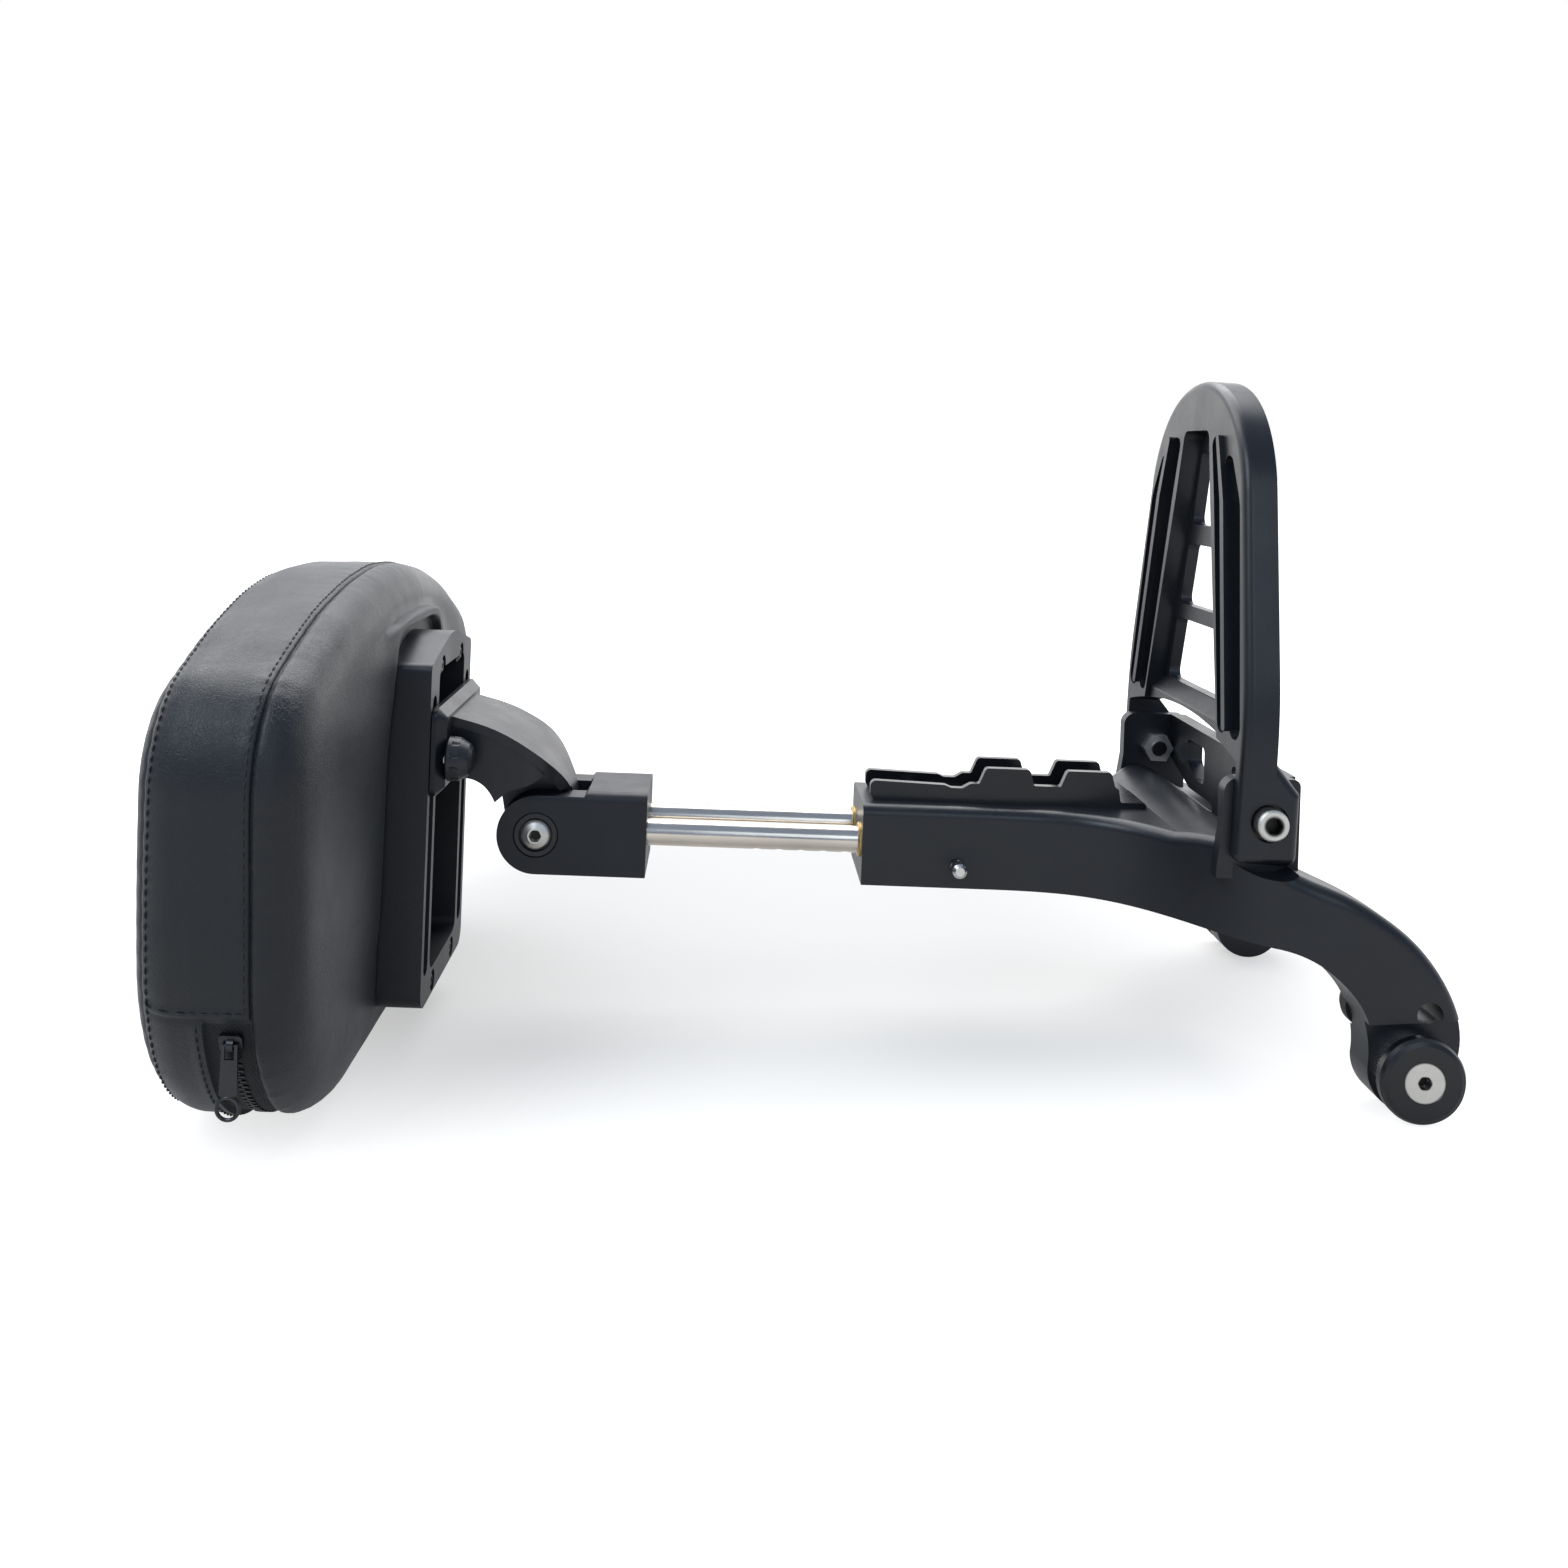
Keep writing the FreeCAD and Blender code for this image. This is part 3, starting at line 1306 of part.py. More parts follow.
plate_blank = box(
    "clamp_plate_blank",
    ("plate_front", "-plate_half_width", "plate_bottom"),
    ("plate_thick", "2 * plate_half_width", "plate_top - plate_bottom"),
)


def plate_edges(edge, middle):
    outer_face = abs(middle.x - plate_rear) < 0.01
    return outer_face and (abs(middle.z - d.plate_top) < 0.01 or abs(middle.z - d.plate_bottom) < 0.01)


def plate_ends(edge, middle):
    return abs(abs(middle.y) - d.plate_half_width) < 0.01 and edge.BoundBox.XLength > 1 and edge.BoundBox.ZLength < 0.1


plate_soft = fillet("clamp_plate_ends", plate_blank, plate_ends, 5.0)
plate_bevelled = chamfer("clamp_plate_bevel", plate_soft, plate_edges, 4.0)
arm_joined = fuse("arm_joined", arm_parts + [boss, tongue, plate_bevelled])
arm_cuts = [cylinder(
    "arm_pivot_hole", "pivot_dia / 2 + rod_fit", "slot_width + 2",
    ("pivot_x", "-slot_width / 2 - 1", "pivot_z"), "y")]
for side, sign in SIDES:
    free_y = d.slot_width / 2 - d.tongue_side_gap if sign > 0 else -d.arm_half_width - 3
    free = doc.addObject("Part::Box", "arm_free_%s" % side)
    free.Length = 40.0
    bind(free, "Width", "arm_half_width + 3 - slot_width / 2 + tongue_side_gap")
    bind(free, "Height", "clevis_front_radius + 0.5")
    free.Placement = Placement(V(d.pivot_x, free_y, d.pivot_z), Rotation(V(0, 1, 0), -6.0))
    arm_cuts.append(free)
    arm_cuts.append(cylinder(
        "arm_ear_room_%s" % side, "clevis_front_radius + 0.5", "arm_half_width + 3 - slot_width / 2 + tongue_side_gap",
        ("pivot_x", str(free_y), "pivot_z"), "y"))
    arm_cuts.append(cylinder(
        "arm_stud_hole_%s" % side, "stud_dia / 2 + 0.1", "plate_thick + 4",
        ("plate_front - 2", "%d * stud_y" % sign, "stud_z"), "x"))
keep(cut("arm_cut", arm_joined, arm_cuts), "arm")

# Clamp bolts and knobs that hold the pad frame at its height.
for side, sign in SIDES:
    slot_floor = d.frame_rear - 4.0
    head_x = slot_floor - d.stud_head_thick - 0.2
    stud_head = box(
        "clamp_bolt_%s_head" % side,
        (str(head_x), "%d * stud_y - stud_head / 2" % sign, "stud_z - stud_head / 2"),
        ("stud_head_thick", "stud_head", "stud_head"),
    )
    stud_bar = cylinder(
        "clamp_bolt_%s_bar" % side, "stud_dia / 2", str(d.knob_x + d.knob_length - 2.5 - head_x - 1),
        (str(head_x + 1), "%d * stud_y" % sign, "stud_z"), "x")
    keep(fuse("clamp_bolt_%s_joined" % side, [stud_head, stud_bar]), "clamp_bolt_%s" % side)

    knob_body = doc.addObject("PartDesign::Body", "knob_%s_body" % side)
    knob_r = d.knob_dia / 2
    bore = d.stud_dia / 2 + d.rod_fit
    end_x = d.knob_x + d.knob_length
    floor_x = end_x - 2.0
    knob_outline = rounded([
        (d.knob_x, bore),
        (d.knob_x, knob_r - 0.8),
        (d.knob_x + 0.8, knob_r),
        (d.knob_x + 5.5, knob_r - 0.5),
        (end_x - 1.4, knob_r - 2.9, 1.2),
        (end_x, knob_r - 4.8),
        (end_x, 0),
        (floor_x, 0),
        (floor_x, bore),
    ])
    knob_profile = body_sketch(knob_body, "knob_%s_profile" % side, "XY_Plane", knob_outline)
    knob_turned = knob_body.newObject("PartDesign::Revolution", "knob_%s_turned" % side)
    knob_turned.Profile = knob_profile
    knob_turned.ReferenceAxis = (origin_plane(knob_body, "X_Axis"), [""])
    knob_turned.Angle = 360.0
    doc.recompute()
    flute_profile = body_sketch(
        knob_body, "knob_%s_flute_profile" % side, "YZ_Plane",
        [circle(0, knob_r + 1.7, 2.5)],
        Placement(V(0, 0, d.knob_x + 2.5), Rotation(0, 0, 0, 1)),
    )
    flute = knob_body.newObject("PartDesign::Pocket", "knob_%s_flute" % side)
    flute.Profile = flute_profile
    flute.Type = "Length"
    flute.Length = 20.0
    flute.Reversed = True
    doc.recompute()
    flutes = knob_body.newObject("PartDesign::PolarPattern", "knob_%s_flutes" % side)
    flutes.Originals = [flute]
    flutes.Axis = (origin_plane(knob_body, "X_Axis"), [""])
    flutes.Angle = 360.0
    flutes.Occurrences = 10
    knob_body.Tip = flutes
    doc.recompute()
    knob_body.Placement = Placement(V(0, sign * d.stud_y, d.stud_z), Rotation(0, 0, 0, 1))
    keep(knob_body, "knob_%s" % side)

# Pad frame: two hollow rails with clamp slots, an arched top and a foot bar.
frame_w = d.frame_half_width
frame_body = doc.addObject("PartDesign::Body", "pad_frame_body")
frame_outline = rounded([
    (-frame_w, d.frame_bottom, 8),
    (-frame_w, d.frame_top, 4),
    (0.0, d.frame_top + 1.2 * d.frame_arch, 60),
    (frame_w, d.frame_top, 4),
    (frame_w, d.frame_bottom, 8),
])
at_front = Placement(V(0, 0, d.frame_front), Rotation(0, 0, 0, 1))
frame_profile = body_sketch(frame_body, "pad_frame_outline", "YZ_Plane", frame_outline, at_front)
frame_pad = frame_body.newObject("PartDesign::Pad", "pad_frame_pad")
frame_pad.Profile = frame_profile
bind(frame_pad, "Length", "frame_rear - frame_front")
doc.recompute()
opening_profile = body_sketch(frame_body, "pad_frame_opening", "YZ_Plane", rounded([
    (-d.rail_inner, d.opening_bottom, 6),
    (-d.rail_inner, d.opening_top, 5),
    (d.rail_inner, d.opening_top, 5),
    (d.rail_inner, d.opening_bottom, 6),
]), at_front)
opening = frame_body.newObject("PartDesign::Pocket", "pad_frame_opening_cut")
opening.Profile = opening_profile
opening.Type = "ThroughAll"
opening.SideType = "Symmetric"
doc.recompute()
last_feature = opening
cavity_half = d.stud_head / 2 + d.stud_slot_fit
slot_r = d.stud_dia / 2 + d.stud_slot_fit
for side, sign in SIDES:
    centre_y = sign * d.stud_y
    cavity_profile = body_sketch(frame_body, "pad_frame_cavity_%s" % side, "YZ_Plane", rounded([
        (centre_y - cavity_half, d.slot_bottom - cavity_half, 1),
        (centre_y - cavity_half, d.slot_top + cavity_half, 1),
        (centre_y + cavity_half, d.slot_top + cavity_half, 1),
        (centre_y + cavity_half, d.slot_bottom - cavity_half, 1),
    ]), at_front)
    cavity = frame_body.newObject("PartDesign::Pocket", "pad_frame_cavity_cut_%s" % side)
    cavity.Profile = cavity_profile
    cavity.Type = "Length"
    cavity.Reversed = True
    bind(cavity, "Length", "frame_rear - 4 - frame_front")
    doc.recompute()
    slot_sketch = body_sketch(frame_body, "pad_frame_slot_%s" % side, "YZ_Plane", rounded([
        (centre_y - slot_r, d.slot_bottom - slot_r, slot_r - 0.05),
        (centre_y - slot_r, d.slot_top + slot_r, slot_r - 0.05),
        (centre_y + slot_r, d.slot_top + slot_r, slot_r - 0.05),
        (centre_y + slot_r, d.slot_bottom - slot_r, slot_r - 0.05),
    ]), at_front)
    slot_cut = frame_body.newObject("PartDesign::Pocket", "pad_frame_slot_cut_%s" % side)
    slot_cut.Profile = slot_sketch
    slot_cut.Type = "ThroughAll"
    slot_cut.SideType = "Symmetric"
    doc.recompute()
    last_feature = slot_cut
screw_rows = (("upper", d.frame_top - 3.5), ("lower", d.frame_bottom + 5.5))
screw_y = 22.0
screw_circles = []
head_circles = []
for row_name, row_z in screw_rows:
    for sign in (-1, 1):
        screw_circles.append(circle(sign * screw_y, row_z, d.frame_screw_dia / 2 + 0.1))
        head_circles.append(circle(sign * screw_y, row_z, d.frame_screw_head / 2 + 0.3))
for tag, circles, depth in (("shank", screw_circles, 40.0), ("head", head_circles, 4.0)):
    at_rear = Placement(V(0, 0, d.frame_rear + 1), Rotation(0, 0, 0, 1))
    hole_profile = body_sketch(frame_body, "pad_frame_screw_%s" % tag, "YZ_Plane", circles, at_rear)
    hole_cut = frame_body.newObject("PartDesign::Pocket", "pad_frame_screw_%s_cut" % tag)
    hole_cut.Profile = hole_profile
    hole_cut.Type = "Length"
    hole_cut.Length = depth
    doc.recompute()
    last_feature = hole_cut
frame_body.Tip = last_feature
keep(frame_body, "pad_frame")

for row_name, row_z in screw_rows:
    for side, sign in SIDES:
        seat_x = d.frame_rear - 3.0
        shank = d.frame_screw_dia / 2
        head = d.frame_screw_head / 2
        screw_outline = rounded([
            (d.frame_front + 0.1, 0),
            (d.frame_front + 0.1, shank),
            (seat_x, shank),
            (seat_x, head),
            (seat_x + 1.0, head),
            (seat_x + 2.6, head - 2.2, 1.5),
            (seat_x + 2.6, 1.4),
            (seat_x + 1.0, 1.4),
            (seat_x + 1.0, 0),
        ])
        place = V(0, sign * screw_y, row_z)
        name = "frame_screw_%s_%s" % (row_name, side)
        screw = revolve(
            name + "_turned", "xz", screw_outline, place, V(1, 0, 0), ("0", str(sign * screw_y), str(row_z)))
        keep(screw, name)

# Pad: a plain closed cushion of the true outer size.
pad_outline = [
    (-d.pad_foot_y, d.pad_bottom, d.pad_foot_radius),
    (-d.pad_shoulder_y, d.pad_shoulder_z, d.pad_shoulder_radius),
    (0.0, d.pad_peak, d.pad_peak_radius),
    (d.pad_shoulder_y, d.pad_shoulder_z, d.pad_shoulder_radius),
    (d.pad_foot_y, d.pad_bottom, d.pad_foot_radius),
]
pad_blank = extrude("pad_blank", "yz", rounded(pad_outline), "pad_front", "pad_back - pad_front")
doc.recompute()


def pad_front_edges(edge, middle):
    return middle.x < d.pad_front + 20


def pad_back_edges(edge, middle):
    return abs(middle.x - d.pad_back) < 0.01


pad_dome = doc.addObject("Part::Sphere", "pad_dome")
pad_dome.Radius = d.pad_crown_radius
pad_dome.Placement = Placement(V(d.pad_front + d.pad_crown_radius, 0, 0), Rotation(0, 0, 0, 1))
pad_crowned = common("pad_crowned", pad_blank, pad_dome)
pad_soft = fillet("pad_front_round", pad_crowned, pad_front_edges, d.pad_front_round)
pad_final = fillet("pad_back_round", pad_soft, pad_back_edges, d.pad_back - d.pad_seam_back - 3)
keep(pad_final, "pad")

# Zip slider and its pull at the pad's near lower corner.
foot_point = V(-d.pad_foot_y, d.pad_bottom, 0)
to_bottom = V(1, 0, 0)
to_side = (V(-d.pad_shoulder_y, d.pad_shoulder_z, 0) - foot_point).normalize()
foot_half = to_bottom.getAngle(to_side) / 2
foot_centre = foot_point + (to_bottom + to_side).normalize() * (d.pad_foot_radius / math.sin(foot_half))
drop = foot_centre.y - d.zip_z
skin_y = foot_centre.x - math.sqrt(d.pad_foot_radius ** 2 - drop ** 2)
tilt = math.degrees(math.asin(drop / d.pad_foot_radius))
slider_face = skin_y - 2.1
slider_outline = rounded([
    (d.zip_x - 4.2, d.zip_z - 1.0, 1),
    (d.zip_x - 3.0, d.zip_z - 7.0, 1.5),
    (d.zip_x + 3.0, d.zip_z - 7.0, 1.5),
    (d.zip_x + 4.2, d.zip_z - 1.0, 1),
    (d.zip_x + 4.2, d.zip_z + 4.0, 1.5),
    (d.zip_x - 4.2, d.zip_z + 4.0, 1.5),
])
slider_plate = extrude("zip_slider_plate", "xz", slider_outline, str(slider_face), "1.8")
bail_y = str(slider_face + 0.2)
bail_outer = cylinder("zip_bail_outer", "2.2", "2.4", (str(d.zip_x - 1.2), bail_y, "zip_z"), "x")
bail_inner = cylinder("zip_bail_inner", "1.55", "4", (str(d.zip_x - 2.0), bail_y, "zip_z"), "x")
bail_keep = box("zip_bail_keep", (str(d.zip_x - 3), str(slider_face - 4), str(d.zip_z - 4)), ("6", "4.9", "8"))
bail_half = common("zip_bail_half", bail_outer, bail_keep)
bail_ring = cut("zip_bail_ring", bail_half, [bail_inner])
slider_solid = fuse("zip_slider_solid", [slider_plate, bail_ring])
swing = Placement(V(0, 0, 0), Rotation(V(1, 0, 0), tilt), V(d.zip_x, skin_y, d.zip_z))
slider_solid.Placement = swing
keep(slider_solid, "zip_slider")

pull_y = skin_y - 2.78
pull_z = d.zip_z - 0.6
pull_low = pull_z - d.zip_pull_length
ring_pin = cylinder("zip_pull_pin", "0.5", "5.6", (str(d.zip_x - 2.8), str(pull_y), str(pull_z)), "x")
pull_plate = extrude("zip_pull_plate", "xz", rounded([
    (d.zip_x - 2.8, pull_z + 0.4, 0.3),
    (d.zip_x + 2.8, pull_z + 0.4, 0.3),
    (d.zip_x + 3.3, pull_low + 9.0, 1.0),
    (d.zip_x - 3.3, pull_low + 9.0, 1.0),
]), str(pull_y - 0.5), "1.0")
pull_window = box(
    "zip_pull_window", (str(d.zip_x - 1.7), str(pull_y - 2), str(pull_z - 5.0)), ("3.4", "4", "5.6"))
pull_open = cut("zip_pull_open", pull_plate, [pull_window])
ring_centre = V(d.zip_x, pull_y, pull_low + 4.6)
ring_section = []
for step in range(8):
    angle = math.radians(45 * step + 22.5)
    ring_section.append((pull_y + 0.7 * math.cos(angle), ring_centre.z + 4.0 + 0.7 * math.sin(angle)))
ring_base = (str(d.zip_x), "0", "0")
ring = revolve("zip_pull_ring", "yz", rounded(ring_section), ring_centre, V(0, 1, 0), ring_base)
keep(fuse("zip_pull_joined", [ring_pin, pull_open, ring]), "zip_pull")

doc.recompute()

# Every object must have recomputed, and every piece must be a sound solid.
problems = []
for obj in doc.Objects:
    if "Invalid" in obj.State or "Error" in obj.State:
        problems.append("%s: %s" % (obj.Name, obj.State))
for node, obj in nodes.items():
    shape = obj.Shape
    if shape.isNull():
        problems.append("%s: no shape" % node)
    elif not shape.isValid():
        problems.append("%s: shape is not valid" % node)
    elif len(shape.Solids) != 1:
        problems.append("%s: %d solids" % (node, len(shape.Solids)))
if problems:
    raise RuntimeError("; ".join(problems))

os.makedirs("parts", exist_ok=True)
whole = None
for node, obj in nodes.items():
    obj.Shape.exportStep("parts/%s.step" % node)
    bounds = obj.Shape.optimalBoundingBox()
    print(node, "%.1f..%.1f %.1f..%.1f %.1f..%.1f" % (bounds.XMin, bounds.XMax, bounds.YMin, bounds.YMax, bounds.ZMin, bounds.ZMax))
    whole = bounds if whole is None else whole.united(bounds)
print("nodes:", len(nodes))
print("box: x %.3f %.3f  y %.3f %.3f  z %.3f %.3f" % (
    whole.XMin, whole.XMax, whole.YMin, whole.YMax, whole.ZMin, whole.ZMax))
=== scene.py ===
import math

import bmesh
import bpy
from mathutils import Matrix, Vector


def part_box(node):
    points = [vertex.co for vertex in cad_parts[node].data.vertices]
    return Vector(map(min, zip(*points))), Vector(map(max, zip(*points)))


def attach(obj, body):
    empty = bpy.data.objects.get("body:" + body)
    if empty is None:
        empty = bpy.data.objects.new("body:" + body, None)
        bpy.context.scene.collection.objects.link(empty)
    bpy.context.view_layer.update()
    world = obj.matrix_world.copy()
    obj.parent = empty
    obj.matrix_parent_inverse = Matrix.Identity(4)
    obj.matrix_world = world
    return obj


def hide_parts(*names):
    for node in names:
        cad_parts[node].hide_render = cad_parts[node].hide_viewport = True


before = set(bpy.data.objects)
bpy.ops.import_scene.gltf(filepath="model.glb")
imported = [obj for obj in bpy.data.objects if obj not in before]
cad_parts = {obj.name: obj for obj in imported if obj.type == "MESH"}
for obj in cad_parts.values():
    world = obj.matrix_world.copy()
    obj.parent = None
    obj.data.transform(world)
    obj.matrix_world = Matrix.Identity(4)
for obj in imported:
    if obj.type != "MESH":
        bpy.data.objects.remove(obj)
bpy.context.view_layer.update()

# The object leans back on the floor. Places below are millimetres in its own upright frame.
LEAN = math.radians(2.1)
SHIFT_X, SHIFT_Z = -42.1935, 89.755
MM = 0.001


def place(x, y, z):
    """An upright place in millimetres as a place in the shared frame, in metres."""
    return Vector((
        (x * math.cos(LEAN) + z * math.sin(LEAN) + SHIFT_X) * MM,
        y * MM,
        (-x * math.sin(LEAN) + z * math.cos(LEAN) + SHIFT_Z) * MM,
    ))


class Nodes:
    """Short ways to fill a node tree, for materials and for the world."""

    def __init__(self, tree):
        self.tree = tree
        self.tree.nodes.clear()

    def node(self, kind, **values):
        made = self.tree.nodes.new(kind)
        for key, value in values.items():
            setattr(made, key, value)
        return made

    def link(self, a, b):
        self.tree.links.new(a, b)

    def coords(self, scale=(1.0, 1.0, 1.0)):
        """Object coordinates, which are metres here, stretched by scale."""
        source = self.node("ShaderNodeTexCoord")
        mapping = self.node("ShaderNodeMapping")
        mapping.inputs["Scale"].default_value = scale
        self.link(source.outputs["Object"], mapping.inputs["Vector"])
        return mapping.outputs["Vector"]

    def noise(self, vector, scale, detail, rough):
        """Soft irregular patches, about scale of them to a metre."""
        made = self.node("ShaderNodeTexNoise")
        made.inputs["Scale"].default_value = scale
        made.inputs["Detail"].default_value = detail
        made.inputs["Roughness"].default_value = rough
        self.link(vector, made.inputs["Vector"])
        return made.outputs["Fac"]

    def ramp(self, value, stops):
        """A colour ramp through stops, each a position and a colour."""
        made = self.node("ShaderNodeValToRGB")
        ramp = made.color_ramp
        while len(ramp.elements) < len(stops):
            ramp.elements.new(0.5)
        for element, (position, color) in zip(ramp.elements, stops):
            element.position = position
            element.color = (*color, 1)
        self.link(value, made.inputs["Fac"])
        return made.outputs["Color"]

    def span(self, value, low, high, start, end, kind="LINEAR"):
        """The value's stretch from start to end carried over to low to high."""
        made = self.node("ShaderNodeMapRange", interpolation_type=kind)
        made.inputs["From Min"].default_value = start
        made.inputs["From Max"].default_value = end
        made.inputs["To Min"].default_value = low
        made.inputs["To Max"].default_value = high
        self.link(value, made.inputs["Value"])
        return made.outputs["Result"]

    def spread(self, noise, low, high):
        """The values that a noise mostly has, 0.3 to 0.7, carried over to low to high."""
        return self.span(noise, low, high, 0.3, 0.7)

    def calc(self, kind, *values):
        """The result of one step of arithmetic on numbers and sockets."""
        made = self.node("ShaderNodeMath", operation=kind)
        for socket, value in zip(made.inputs, values):
            if isinstance(value, float):
                socket.default_value = value
            else:
                self.link(value, socket)
        return made.outputs["Value"]

    def bump(self, height, distance, strength=1.0, below=None):
        """Relief as high as distance, in metres, on top of the relief below."""
        made = self.node("ShaderNodeBump")
        made.inputs["Distance"].default_value = distance
        made.inputs["Strength"].default_value = strength
        self.link(height, made.inputs["Height"])
        if below is not None:
            self.link(below, made.inputs["Normal"])
        return made.outputs["Normal"]


class Shader(Nodes):
    """A new material whose surface is one main shader."""

    def __init__(self, name):
        self.material = bpy.data.materials.new(name)
        self.material.use_nodes = True
        super().__init__(self.material.node_tree)
        self.out = self.node("ShaderNodeOutputMaterial")
        self.bsdf = self.node("ShaderNodeBsdfPrincipled")
        self.link(self.bsdf.outputs["BSDF"], self.out.inputs["Surface"])

    def set(self, **values):
        """Set or link the shader's inputs, named with _ for a space."""
        for key, value in values.items():
            socket = self.bsdf.inputs[key.replace("_", " ")]
            if isinstance(value, float):
                socket.default_value = value
            elif isinstance(value, tuple):
                socket.default_value = (*value, 1)
            else:
                self.link(value, socket)


def scaled(color, factor):
    """The color with each channel times factor."""
    return tuple(channel * factor for channel in color)


# Materials. Colours are linear, lengths in metres, and rough is the lowest and highest roughness.
def dark_coat(name, dark, pale, rough, grain, grain_depth, specular=0.5):
    """A black coat over a metal casting: fine grain and faint patches."""
    s = Shader(name)
    vector = s.coords()
    patches = s.noise(vector, 18.0, 4.0, 0.6)
    s.set(
        Base_Color=s.ramp(patches, [(0.3, dark), (0.75, pale)]),
        Roughness=s.spread(s.noise(vector, 45.0, 5.0, 0.65), *rough),
        Specular_IOR_Level=specular,
        Normal=s.bump(s.noise(vector, grain, 2.0, 0.6), grain_depth),
    )
    return s.material


def bright_metal(name, color, rough, stretch, depth):
    """Turned or drawn bright metal: fine lines along the work's direction, faint smudges."""
    s = Shader(name)
    lines = s.noise(s.coords(stretch), 900.0, 3.0, 0.6)
    smudge = s.noise(s.coords(), 30.0, 4.0, 0.6)
    s.set(
        Base_Color=s.ramp(smudge, [(0.25, scaled(color, 0.82)), (0.7, color)]),
        Metallic=1.0,
        Roughness=s.spread(lines, *rough),
        Normal=s.bump(lines, depth),
    )
    return s.material


def moulded(name, dark, pale, rough, texture, depth, specular=0.5):
    """Injection moulded plastic or rubber: even spark texture and faint flow marks."""
    s = Shader(name)
    flow = s.noise(s.coords((1.0, 1.0, 0.35)), 22.0, 3.0, 0.5)
    s.set(
        Base_Color=s.ramp(flow, [(0.3, dark), (0.75, pale)]),
        Roughness=s.spread(flow, *rough),
        Specular_IOR_Level=specular,
        Normal=s.bump(s.noise(s.coords(), texture, 2.0, 0.7), depth),
    )
    return s.material


def leather(name, dark, pale, rough):
    """Smooth black upholstery leather: pebble grain, broad soft creases, faint sheen."""
    s = Shader(name)
    vector = s.coords()
    wobble = s.node("ShaderNodeTexNoise")
    wobble.inputs["Scale"].default_value = 160.0
    s.link(vector, wobble.inputs["Vector"])
    shifted = s.node("ShaderNodeMix", data_type="RGBA")
    shifted.inputs["Factor"].default_value = 0.006
    s.link(vector, shifted.inputs["A"])
    s.link(wobble.outputs["Color"], shifted.inputs["B"])
    cells = s.node("ShaderNodeTexVoronoi", feature="DISTANCE_TO_EDGE")
    cells.inputs["Scale"].default_value = 620.0
    s.link(shifted.outputs["Result"], cells.inputs["Vector"])
    pebble = s.span(cells.outputs["Distance"], 0.0, 1.0, 0.0, 0.12)
    creases = s.noise(vector, 36.0, 4.0, 0.55)
    tone = s.noise(vector, 9.0, 3.0, 0.5)
    handled = s.span(s.noise(vector, 14.0, 3.0, 0.55), 0.86, 1.08, 0.35, 0.65)
    s.set(
        Base_Color=s.ramp(tone, [(0.3, dark), (0.72, pale)]),
        Roughness=s.calc("MULTIPLY", handled, s.spread(creases, *rough)),
        Sheen_Weight=0.08,
        Sheen_Roughness=0.4,
        Specular_IOR_Level=0.36,
        Normal=s.bump(pebble, 0.00007, 0.7, below=s.bump(creases, 0.0006, 0.5)),
    )
    return s.material


def thread(name, color):
    """Twisted polyester thread."""
    s = Shader(name)
    twist = s.noise(s.coords(), 2600.0, 1.0, 0.5)
    s.set(
        Base_Color=s.ramp(twist, [(0.3, scaled(color, 0.5)), (0.7, color)]),
        Roughness=0.62,
        Normal=s.bump(twist, 0.0001),
    )
    return s.material


def woven(name, color):
    """Zip tape: a fine slanting weave."""
    s = Shader(name)
    wave = s.node("ShaderNodeTexWave", wave_type="BANDS", bands_direction="DIAGONAL")
    wave.inputs["Scale"].default_value = 420.0
    wave.inputs["Distortion"].default_value = 1.0
    s.link(s.coords(), wave.inputs["Vector"])
    s.set(
        Base_Color=s.ramp(wave.outputs["Fac"], [(0.2, scaled(color, 0.5)), (0.8, color)]),
        Roughness=0.8,
        Normal=s.bump(wave.outputs["Fac"], 0.00015),
    )
    return s.material


SCREW_COLOR = (0.72, 0.69, 0.63)
TURNING = 26000.0  # radians per metre, a tool line every 0.24 mm


def socket_screw(name, socket_shade_r):
    """A bright screw along y: turned face, a rim darkened as painted shade, and a socket painted dark as
    shade out to the given radius.
    """
    low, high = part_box(name)
    s = Shader("steel_" + name)
    split = s.node("ShaderNodeSeparateXYZ")
    s.link(s.coords(), split.inputs["Vector"])
    off_x = s.calc("SUBTRACT", split.outputs["X"], (low.x + high.x) / 2)
    off_z = s.calc("SUBTRACT", split.outputs["Z"], (low.z + high.z) / 2)
    squares = s.calc("ADD", s.calc("MULTIPLY", off_x, off_x), s.calc("MULTIPLY", off_z, off_z))
    radius = s.calc("SQRT", squares)
    head_r = (high.z - low.z) / 2
    # Painted shade: near black in the socket, and darker towards the rim of the head.
    face = s.span(radius, 0.0, 1.0, socket_shade_r * 0.86, socket_shade_r * 1.12)
    rim = s.span(radius, 1.0, 0.35, head_r * 0.93, head_r * 0.995)
    bright = s.calc("MULTIPLY", face, rim)
    turned = s.calc("MULTIPLY", s.calc("SINE", s.calc("MULTIPLY", radius, TURNING)), face)
    s.set(
        # The near black end of this ramp is the painted shade.
        Base_Color=s.ramp(bright, [(0.0, scaled(SCREW_COLOR, 0.05)), (1.0, SCREW_COLOR)]),
        Metallic=1.0,
        Roughness=s.spread(s.noise(s.coords(), 260.0, 4.0, 0.6), 0.42, 0.58),
        Normal=s.bump(turned, 0.000004, 0.5),
    )
    return s.material


